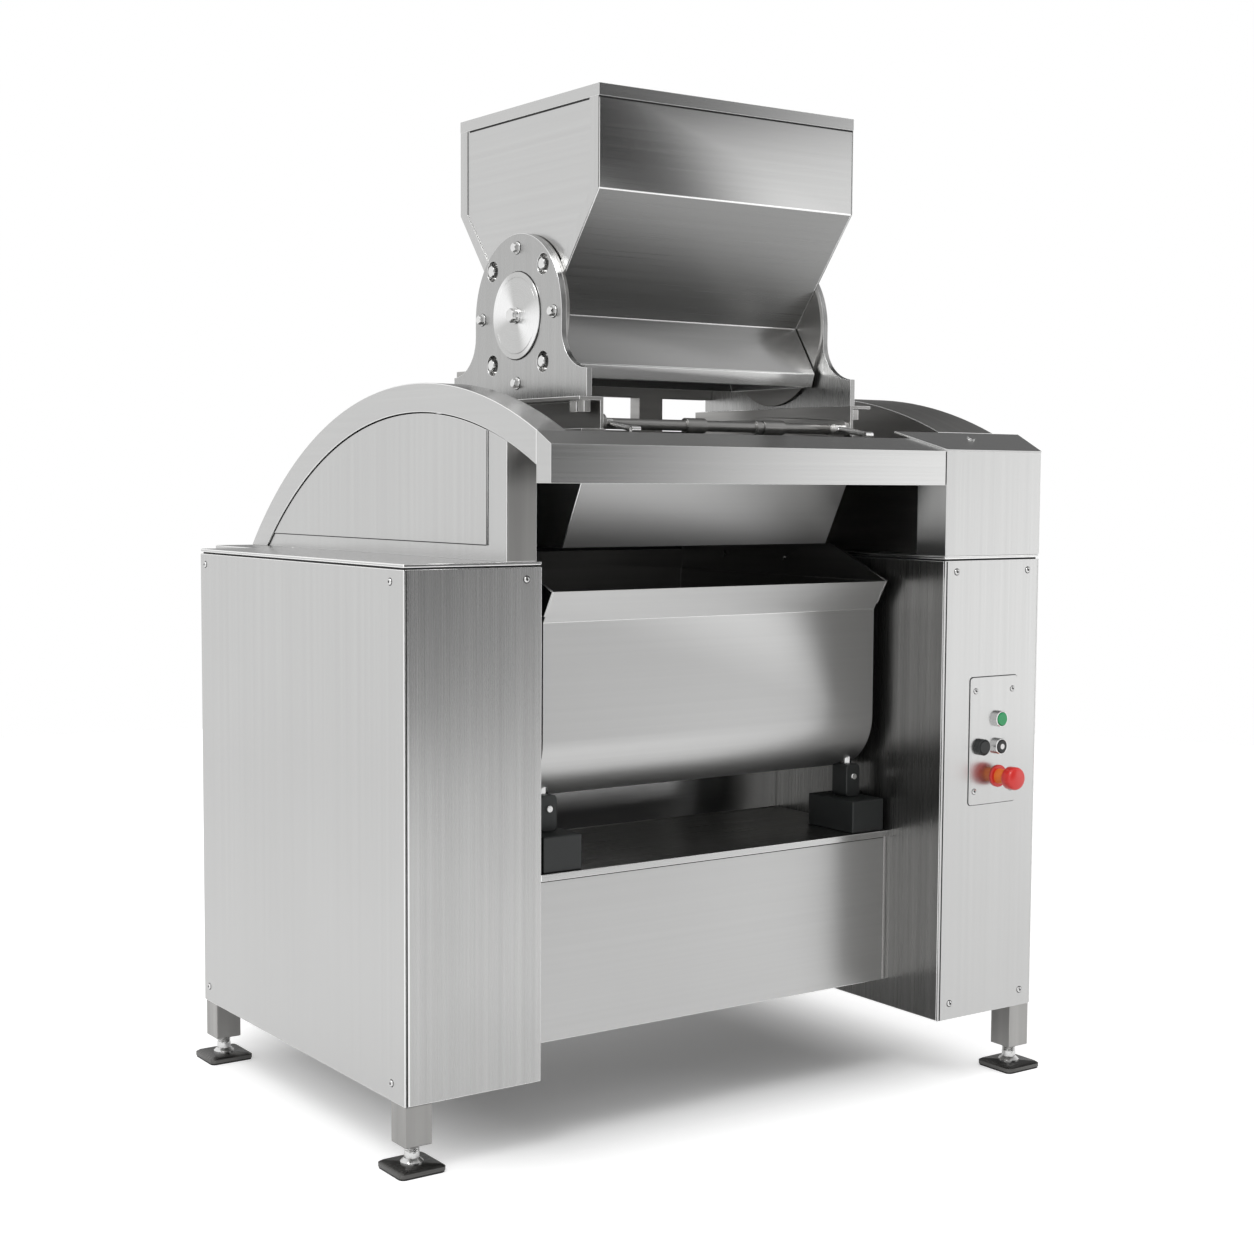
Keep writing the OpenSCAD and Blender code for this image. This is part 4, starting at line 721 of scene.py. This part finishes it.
# small bolts stand on the plate; the large ones stand on a washer at the bottom of their hole
trunnionBolts = {"washer": 0.0255, "washerThick": 0.002, "across": 0.0175, "smallWasher": 0.0195,
                 "smallThick": 0.0014, "smallAcross": 0.0135, "smallHeight": 0.008, "seatIn": 0.98,
                 "seatOver": 0.001}


def fitTrunnionBolts(look):
    bolts = []
    for low, high in solidBoxes("trunnion_bolts"):
        base, axis, sizes = fastenerAxis(low, high, (0, 1 if low[0] > 0 else -1))
        if sizes[1] < look["across"]:
            radius, thick = look["smallWasher"] / 2, look["smallThick"]
            across, height = look["smallAcross"], look["smallHeight"]
        else:
            radius, thick = look["washer"] / 2, look["washerThick"]
            across, height = look["across"], sizes[0] - thick
        bolts.append(washerMesh(base, axis, radius, thick))
        bolts.append(hexBoltMesh("bolt", base + axis * thick, axis, across, height))
        seats.append(seatMesh(base, axis, radius * look["seatIn"], radius + look["seatOver"]))
    showPiece("trunnionBolts", joinMeshes("trunnionBolts", bolts), "trunnion_bolts", "brightSteel")


fitTrunnionBolts(trunnionBolts)

# discs in shallow seats: their grain runs round, so their highlights are radial, and their tone also
# carries painted highlight fans
caps = {"shadowGap": 0.0012, "gapHeight": 0.0007, "edge": 0.0006, "groove": 0.062, "grooveDepth": 0.0004,
        "grooveHalf": 0.0005, "innerRing": 0.5, "seatIn": 0.99, "seatOver": 0.0016}


def fitCaps(look):
    discs = []
    gap, rise, edge = look["shadowGap"], look["gapHeight"], look["edge"]
    groove, half = look["groove"], look["grooveHalf"]
    for low, high in solidBoxes("trunnion_caps"):
        base, axis, sizes = fastenerAxis(low, high, (0, 1 if low[0] > 0 else -1))
        radius, thick = sizes[1] / 2, sizes[0]
        profile = [(0, 0), (radius - gap, 0), (radius - gap, rise), (radius, rise),
                   (radius, thick - edge), (radius - edge, thick), (groove + half, thick),
                   (groove, thick - look["grooveDepth"]), (groove - half, thick),
                   (radius * look["innerRing"], thick), (0, thick)]
        discs.append(turnedMesh("cap", profile, base, axis, steps=96))
        seats.append(seatMesh(base, axis, radius * look["seatIn"], radius + look["seatOver"]))
    showPiece("trunnionCaps", joinMeshes("trunnionCaps", discs), "trunnion_caps", "discSteel")


fitCaps(caps)


# a rounded rectangle at each height: rows give half width, half depth, corner radius and height
def plateMesh(name, rows, centre, across, along, axis, steps=6):
    rows = np.array(rows, float)
    corner = np.arange(4 * (steps + 1))
    quarter = corner // (steps + 1)
    turn = (quarter + (corner % (steps + 1)) / steps) * np.pi / 2
    flipX, flipY = np.where(quarter % 3 == 0, 1, -1), np.where(quarter < 2, 1, -1)
    wide, tall, bend, z = (rows[:, column, None] for column in range(4))
    x = flipX * (wide - bend) + bend * np.cos(turn)
    y = flipY * (tall - bend) + bend * np.sin(turn)
    points = np.array(centre) + (x[..., None] * np.array(across) + y[..., None] * np.array(along)
                                 + z[..., None] * np.array(axis))
    return surfaceMesh(name, points)


# a screw thread: radius falls by a triangle wave of height over pitch less turn
def threadMesh(name, base, axis, radius, depth, pitch, length, steps):
    axis, first, second = crossAxes(axis)
    height = np.linspace(0, length, int(length / pitch * 8) + 1)[:, None]  # 8 rings to a turn
    turn = np.arange(steps) * 2 * np.pi / steps
    wave = np.abs(((height / pitch - turn / (2 * np.pi)) % 1) * 2 - 1)
    fade = np.clip(np.minimum(height, length - height) / pitch, 0, 1)
    reach = radius - depth * wave * fade
    around = np.cos(turn)[:, None] * first + np.sin(turn)[:, None] * second
    return surfaceMesh(name, np.array(base) + reach[..., None] * around + height[..., None] * axis)


# steel plates on rubber soles, with a flared collar and a spindle in each
feet = {"rubber": 0.003, "rubberIn": 0.001, "corner": 0.009, "topCorner": 0.0063, "slopeIn": 0.005,
        "slopeDrop": 0.003, "collar": 0.018, "collarStraight": 0.0025, "collarIn": 0.002,
        "collarShoulder": 0.0045, "collarHeight": 0.007, "spindle": 0.012, "flare": 0.001,
        "threadDepth": 0.0009, "pitch": 0.003, "threadShare": 0.45, "steps": 40}


def fitFeet(look):
    plates, soles, spindles = [], [], []
    up = np.array(upright, float)
    end = max(high[2] for low, high in solidBoxes("foot_spindles"))
    corner, rubber, collar, radius = look["corner"], look["rubber"], look["collar"], look["spindle"]
    for low, high in solidBoxes("foot_pads"):
        half, top = (high[0] - low[0]) / 2, high[2]
        centre = np.array([(low[0] + high[0]) / 2, (low[1] + high[1]) / 2, 0])
        sole, inner = half - look["rubberIn"], half - look["slopeIn"]
        rows = [(0, 0, 0, 0), (sole, sole, corner, 0), (sole, sole, corner, rubber), (0, 0, 0, rubber)]
        soles.append(plateMesh("sole", rows, centre, level, deep, up))
        rows = [(0, 0, 0, rubber), (half, half, corner, rubber),
                (half, half, corner, top - look["slopeDrop"]), (inner, inner, look["topCorner"], top),
                (0, 0, 0, top)]
        plates.append(plateMesh("plate", rows, centre, level, deep, up))
        thread, neck = (end - top) * look["threadShare"], top + look["collarHeight"]
        profile = [(0, top), (collar, top), (collar, top + look["collarStraight"]),
                   (collar - look["collarIn"], top + look["collarShoulder"]),
                   (radius + look["flare"], neck), (radius, neck + look["flare"]), (radius, end - thread)]
        spindles.append(turnedMesh("collar", profile, centre, up, steps=look["steps"]))
        spindles.append(threadMesh("thread", centre + up * (end - thread), up, radius,
                                   look["threadDepth"], look["pitch"], thread, look["steps"]))
    mesh = joinMeshes("footPads", plates)
    mapGrain(mesh, level)
    showPiece("footPads", mesh, "foot_pads", "darkSteel")
    showPiece("footSoles", joinMeshes("footSoles", soles), "foot_pads", "blackRubber", stands=False)
    showPiece("footSpindles", joinMeshes("footSpindles", spindles), "foot_spindles", "brightSteel")


fitFeet(feet)
print("fasteners, caps and feet made")


# a flat strip along a path on a surface: its sides are the normal cross the path's direction
def ribbonMesh(name, path, normal, width):
    path, normal = np.array(path, float), np.array(normal, float)
    ways = np.gradient(path, axis=0)
    ways /= np.linalg.norm(ways, axis=1)[:, None]
    side = np.cross(normal, ways) * width / 2
    lift = normal * lineRise
    section = np.stack([path - side, path + side, path + side + lift, path - side + lift], 1)
    ends = [np.repeat((section[at].mean(0))[None, None], 4, 1) for at in (0, -1)]
    return surfaceMesh(name, np.concatenate([ends[0], section, ends[1]], 0))


# seams drawn as dark strips, the three under the hopper's rim also a painted shadow under its hem, and
# folds drawn as lighter strips, a painted highlight: node they ride with, finish, normal, width, start
# and end
left, right, cheek = (-1, 0, 0), (1, 0, 0), (0, -0.3924, 0.9198)
seams = [
    ("hopper_shell", "gapBlack", forward, 0.0028, (-0.259, -0.377, 1.6412), (0.259, -0.377, 1.6412)),
    ("hopper_shell", "gapBlack", left, 0.0028, (-0.259, -0.349, 1.6412), (-0.259, 0.017, 1.6412)),
    ("hopper_shell", "gapBlack", right, 0.0028, (0.259, -0.349, 1.6412), (0.259, 0.017, 1.6412)),
    ("left_front_panel", "gapBlack", forward, 0.0022, (-0.5956, -0.371, 0.107), (-0.5956, -0.371, 0.915)),
    ("left_front_panel", "foldHighlightSteel", forward, 0.003, (-0.5928, -0.371, 0.107), (-0.5928, -0.371, 0.915)),
    ("right_front_panel", "gapBlack", forward, 0.0026, (0.3768, -0.501, 0.119), (0.3768, -0.501, 0.915)),
    ("left_guard_box", "gapBlack", left, 0.0016, (-0.4235, -0.314, 0.9485), (-0.4235, -0.314, 1.1255)),
    ("left_guard_box", "gapBlack", left, 0.0016, (-0.4235, -0.314, 0.9485), (-0.4235, 0.456, 0.9485)),
    ("front_beam", "gapBlack", forward, 0.0024, (0.3705, -0.501, 1.0455), (0.3705, -0.501, 1.102)),
    ("apron", "foldHighlightSteel", forward, 0.003, (0.3665, -0.366, 0.166), (0.3665, -0.366, 0.4225)),
    ("apron", "gapBlack", forward, 0.0022, (-0.356, -0.366, 0.4218), (0.364, -0.366, 0.4218)),
    ("trough_cheeks", "foldHighlightSteel", cheek, 0.004, (0.3505, -0.3805, 0.8774), (0.3505, -0.2312, 0.9411)),
    ("trough_cheeks", "foldHighlightSteel", cheek, 0.004, (-0.3465, -0.3805, 0.8774), (-0.3465, -0.2312, 0.9411)),
]
for number, (node, finish, normal, width, start, end) in enumerate(seams):
    mesh = joinMeshes("seam", [ribbonMesh("seam", [start, end], normal, width)])
    showPiece("seam%d" % number, mesh, node, finish, stands=False)
showPiece("seats", joinMeshes("seats", seats), "panel_screws", "gapBlack", stands=False)


def boxMesh(name, low, high):
    low, high = np.array(low), np.array(high)
    middle, (wide, thick, tall) = (low + high) / 2, (high - low) / 2
    rows = [(0, 0, 0, -tall), (wide, thick, 0, -tall), (wide, thick, 0, tall), (0, 0, 0, tall)]
    mesh = joinMeshes(name, [plateMesh(name, rows, middle, level, deep, upright, steps=1)])
    mapGrain(mesh, level)
    return mesh


# strips the photograph only hints at: an upstand behind the deck in the shaded steel, painted shade, and
# a black seal over the trough's back that is also painted shade there
backStrips = {
    "deckUpstand": {"low": (-0.366, 0.2305, 1.1237), "high": (0.416, 0.233, 1.148),
                    "node": "top_deck", "finish": "shadeSteel"},
    "backSealAndShade": {"low": (-0.356, 0.2308, 0.914), "high": (0.37, 0.2326, 0.9255),
                 "node": "rear_upper_panel", "finish": "blackRubber"},
}
for name, look in backStrips.items():
    showPiece(name, boxMesh(name, look["low"], look["high"]), look["node"], look["finish"], stands=False)

# black forks with a bright pin through each and a nut above
forks = {"halfWidth": 0.0155, "halfDepth": 0.019, "halfHeight": 0.0295, "corner": 0.008, "edge": 0.0012,
         "pin": 0.0058, "pinThick": 0.0035, "pinStraight": 0.7, "pinTop": 0.85, "pinRise": 0.25,
         "nut": 0.015}


def fitForks(look):
    bodies, pins = [], []
    width, depth, height = look["halfWidth"], look["halfDepth"], look["halfHeight"]
    corner, edge, radius, thick = look["corner"], look["edge"], look["pin"], look["pinThick"]
    rows = [(0, 0, 0, -depth), (width, height, corner, -depth), (width, height, corner, depth - edge),
            (width - edge, height - edge, corner, depth), (0, 0, 0, depth)]
    head = [(0, 0), (radius, 0), (radius, thick * look["pinStraight"]), (radius * look["pinTop"], thick),
            (0, thick)]
    for low, high in solidBoxes("clevises"):
        middle = np.array([(low[0] + high[0]) / 2, (low[1] + high[1]) / 2, low[2] + height])
        bodies.append(plateMesh("fork", rows, middle, level, upright, forward))
        for way in (forward, -forward):
            base = middle + way * depth + np.array((0, 0, height * look["pinRise"]))
            pins.append(turnedMesh("pin", head, base, way, steps=32))
        top = middle + np.array((0, 0, height))
        pins.append(hexBoltMesh("nut", top, upright, look["nut"], high[2] - top[2]))
    showPiece("clevises", joinMeshes("clevises", bodies), "clevises", "blackPlastic")
    showPiece("forkPins", joinMeshes("forkPins", pins), "clevises", "brightSteel", stands=False)


fitForks(forks)

# hexagon bolt and washer in the middle of the left cap, lifted off it so that it can turn
capBolt = {"lift": 0.0003, "washer": 0.0135, "washerThick": 0.002, "across": 0.0205, "over": 0.0006}


def fitCapBolt(look):
    low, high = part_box("gate_shaft")
    capLow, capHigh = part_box("trunnion_caps")
    base = (np.array(capLow) + capHigh) / 2
    base[0] = capLow[0] - look["lift"]
    reach, thick = base[0] - low[0] + look["over"], look["washerThick"]
    parts = [washerMesh(base, left, look["washer"], thick),
             hexBoltMesh("bolt", base - np.array((thick, 0, 0)), left, look["across"], reach - thick)]
    showPiece("capBolt", joinMeshes("capBolt", parts), "gate_shaft", "brightSteel", stands=False)


fitCapBolt(capBolt)
print("seams, strips, forks and cap bolt made")

# control plate with rounded corners, a shadow round it and a screw in each corner
plate = {"thick": 0.002, "edge": 0.0006, "corner": 0.006, "outline": 0.0011, "outlineRise": 0.0003,
         "screwIn": 0.0125, "screwDown": 0.02375, "screw": 0.0045, "screwHeight": 0.0022,
         "screwSeat": 0.0008, "socketWide": 0.36, "socket": (0.0008, 0.0009, 0.001)}


def fitPlate(look, middle, wide, tall):
    thick, edge, corner, rise = look["thick"], look["edge"], look["corner"], look["outlineRise"]
    rows = [(0, 0, 0, 0), (wide, tall, corner, 0), (wide, tall, corner, thick - edge),
            (wide - edge, tall - edge, corner, thick), (0, 0, 0, thick)]
    mesh = joinMeshes("controlPlate", [plateMesh("plate", rows, middle, level, upright, forward)])
    mapGrain(mesh, upright)
    showPiece("controlPlate", mesh, "control_plate", "sheetSteel")
    wide, tall, corner = (size + look["outline"] for size in (wide, tall, corner))
    rows = [(0, 0, 0, 0), (wide, tall, corner, 0), (wide, tall, corner, rise), (0, 0, 0, rise)]
    mesh = joinMeshes("controlSeat", [plateMesh("seat", rows, middle, level, upright, forward)])
    showPiece("controlSeat", mesh, "control_plate", "gapBlack", stands=False)


def plateScrews(look, middle, wide, tall):
    screws, marks = [], []
    radius = look["screw"]
    start, rise, end = look["socket"]
    for x in (-1, 1):
        for z in (-1, 1):
            base = middle + forward * look["thick"]
            base += np.array([x * (wide - look["screwIn"]), 0, z * (tall - look["screwDown"])])
            screws.append(socketScrewMesh("screw", base, forward, radius, look["screwHeight"]))
            # each plate screw gets a dark seat ring and a dark socket disc: painted shade
            marks.append(seatMesh(base, forward, radius, radius + look["screwSeat"]))
            profile = [(0, start), (radius * look["socketWide"], rise), (0, end)]
            marks.append(turnedMesh("socket", profile, base, forward, steps=24))
    return screws, marks


# each button is a cap in a tube, and the stop button has a pale spot
buttons = {"tubeOuter": 0.0142, "tubeInner": 0.0119, "tubeHeight": 0.0095, "tubeEdge": 0.0008,
           "tubeLip": 0.0006, "capHeight": 0.011, "capRadius": 0.0114, "capEdge": 0.0012,
           "capDepth": 0.006, "spot": 0.0048, "spotIn": 0.001, "spotRise": 0.0002}


def fitButtons(look, face):
    tubes, blackTubes = [], []
    outer, inner, height, edge = (look["tube" + key] for key in ("Outer", "Inner", "Height", "Edge"))
    lip, radius, top, bend = (look[key] for key in ("tubeLip", "capRadius", "capHeight", "capEdge"))
    tube = [(outer, 0), (outer, height - edge), (outer - edge, height), (inner + lip, height),
            (inner, height - lip), (inner, 0), (outer, 0)]
    cap = [(0, -look["capDepth"]), (radius, -look["capDepth"]), (radius, top - bend),
           (radius - bend, top), (0, top)]
    for node in ("start_button", "stop_button", "inch_button"):
        low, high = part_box(node)
        base = np.array([(low[0] + high[0]) / 2, face, (low[2] + high[2]) / 2])
        ring = turnedMesh("tube", tube, base, forward)
        (blackTubes if node == "inch_button" else tubes).append(ring)
        finish = "greenPlastic" if node == "start_button" else "blackPlastic"
        mesh = joinMeshes(camel(node), [turnedMesh("cap", cap, base, forward)])
        showPiece(camel(node), mesh, node, finish)
        if node == "stop_button":
            spot, bottom, rise = look["spot"], top - look["spotIn"], top + look["spotRise"]
            profile = [(0, bottom), (spot, bottom), (spot, rise), (0, rise)]
            mesh = joinMeshes("stopSpot", [turnedMesh("spot", profile, base, forward)])
            showPiece("stopSpot", mesh, node, "whitePlastic", stands=False)
    return tubes, blackTubes


# the mushroom head slides over its neck, which stands in a collar
mushroom = {"collar": 0.0195, "collarHeight": 0.0035, "collarEdge": 0.001, "neck": 0.0128,
            "flare": 0.0015, "flareHeight": 0.006, "headLength": 0.0235, "hollow": 0.0055,
            "hollowRadius": 0.0142, "skirt": 0.0005, "skirtIn": 0.003, "skirtHeight": 0.004,
            "crown": [(0, 0.005), (0.0015, 0.0015), (0.004, 0.0004)], "smooth": 50}


def fitMushroom(look, face):
    low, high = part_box("halt_button")
    centre = np.array([(low[0] + high[0]) / 2, face, (low[2] + high[2]) / 2])
    reach, radius = face - low[1], (high[0] - low[0]) / 2
    wide, tall, edge = look["collar"], look["collarHeight"], look["collarEdge"]
    collar = [(0, 0), (wide, 0), (wide, tall - edge), (wide - edge, tall), (0, tall)]
    base, thin = reach - look["headLength"], look["neck"]
    neck = [(0, 0), (thin + look["flare"], 0), (thin, look["flareHeight"]), (thin, base), (0, base)]
    floor, hollow = base + look["hollow"], look["hollowRadius"]
    head = [(0, floor), (hollow, floor), (hollow, base - look["skirt"]), (radius - look["skirtIn"], base),
            (radius, base + look["skirtHeight"])]
    head += [(radius - inset, reach - drop) for inset, drop in look["crown"]] + [(0, reach)]
    mesh = joinMeshes("haltCollar", [turnedMesh("collar", collar, centre, forward)])
    showPiece("haltCollar", mesh, "control_plate", "redPlastic", stands=False)
    mesh = joinMeshes("haltNeck", [turnedMesh("neck", neck, centre, forward)])
    showPiece("haltNeck", mesh, "control_plate", "orangePlastic", stands=False)
    mesh = joinMeshes("haltButton", [turnedMesh("head", head, centre, forward)], angle=look["smooth"])
    showPiece("haltButton", mesh, "halt_button", "redPlastic")


def fitControls():
    low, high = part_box("control_plate")
    middle = np.array([(low[0] + high[0]) / 2, high[1], (low[2] + high[2]) / 2])
    wide, tall = (high[0] - low[0]) / 2, (high[2] - low[2]) / 2
    face = high[1] - plate["thick"]
    fitPlate(plate, middle, wide, tall)
    tubes, blackTubes = fitButtons(buttons, face)
    screws, marks = plateScrews(plate, middle, wide, tall)
    for name, meshes, finish in (("controlRings", tubes + screws, "brightSteel"),
                                 ("controlBlackRing", blackTubes, "blackPlastic"),
                                 ("controlMarks", marks, "gapBlack")):
        showPiece(name, joinMeshes(name, meshes), "control_plate", finish, stands=False)
    fitMushroom(mushroom, face)


fitControls()
print("controls made")

# pale floor that glows with a painted light of its own; the glow fades out towards the object, so its
# shadow stays and painted shade spreads round its footprint
floorLook = {"radius": 5.0, "tone": 0.72, "rough": 0.7, "specular": 0.1, "glow": 0.55, "mirrored": 0.5,
             "reach": 0.37, "inset": 0.31}


# the glow grows with the distance outside the object's footprint, taken in by the inset, so the floor is
# darker near the object: painted shade
def layFloor(look):
    mesh = turnedMesh("floor", [(0, 0), (look["radius"], 0)], (0, 0, 0), upright, steps=96)
    floor = bpy.data.objects.new("floor", joinMeshes("floor", [mesh]))
    bpy.context.scene.collection.objects.link(floor)
    tree, shader = newMaterial("floor")
    low, high = (np.array(corner[:2]) for corner in cadBox)
    middle, half = (low + high) / 2, (high - low) / 2 - look["inset"]
    place = addNode(tree, "ShaderNodeTexCoord").outputs["Object"]
    for operation, value in (("SUBTRACT", (*middle, 0)), ("ABSOLUTE", None), ("SUBTRACT", (*half, 0)),
                             ("MAXIMUM", (0, 0, 0)), ("LENGTH", None)):
        entries = {0: place} if value is None else {0: place, 1: value}
        step = addNode(tree, "ShaderNodeVectorMath", entries, operation=operation)
        place = step.outputs["Value" if operation == "LENGTH" else "Vector"]
    glow = addNode(tree, "ShaderNodeMapRange",
                   {"Value": place, "From Max": look["reach"], "To Max": look["glow"]},
                   interpolation_type="SMOOTHSTEP")
    rays = addNode(tree, "ShaderNodeLightPath")
    share = calculate(tree, "MULTIPLY_ADD", rays.outputs["Is Camera Ray"], 1 - look["mirrored"],
                      look["mirrored"])
    both = calculate(tree, "MULTIPLY", backgroundRays(tree, rays), share)
    tone = look["tone"]
    feed(tree, shader, {"Base Color": (tone, tone, tone, 1), "Roughness": look["rough"],
                        "Specular IOR Level": look["specular"], "Emission Color": (1, 1, 1, 1),
                        "Emission Strength": calculate(tree, "MULTIPLY", glow.outputs["Result"], both)})
    floor.data.materials.append(finishes["floor"])


layFloor(floorLook)

print("scene ready")
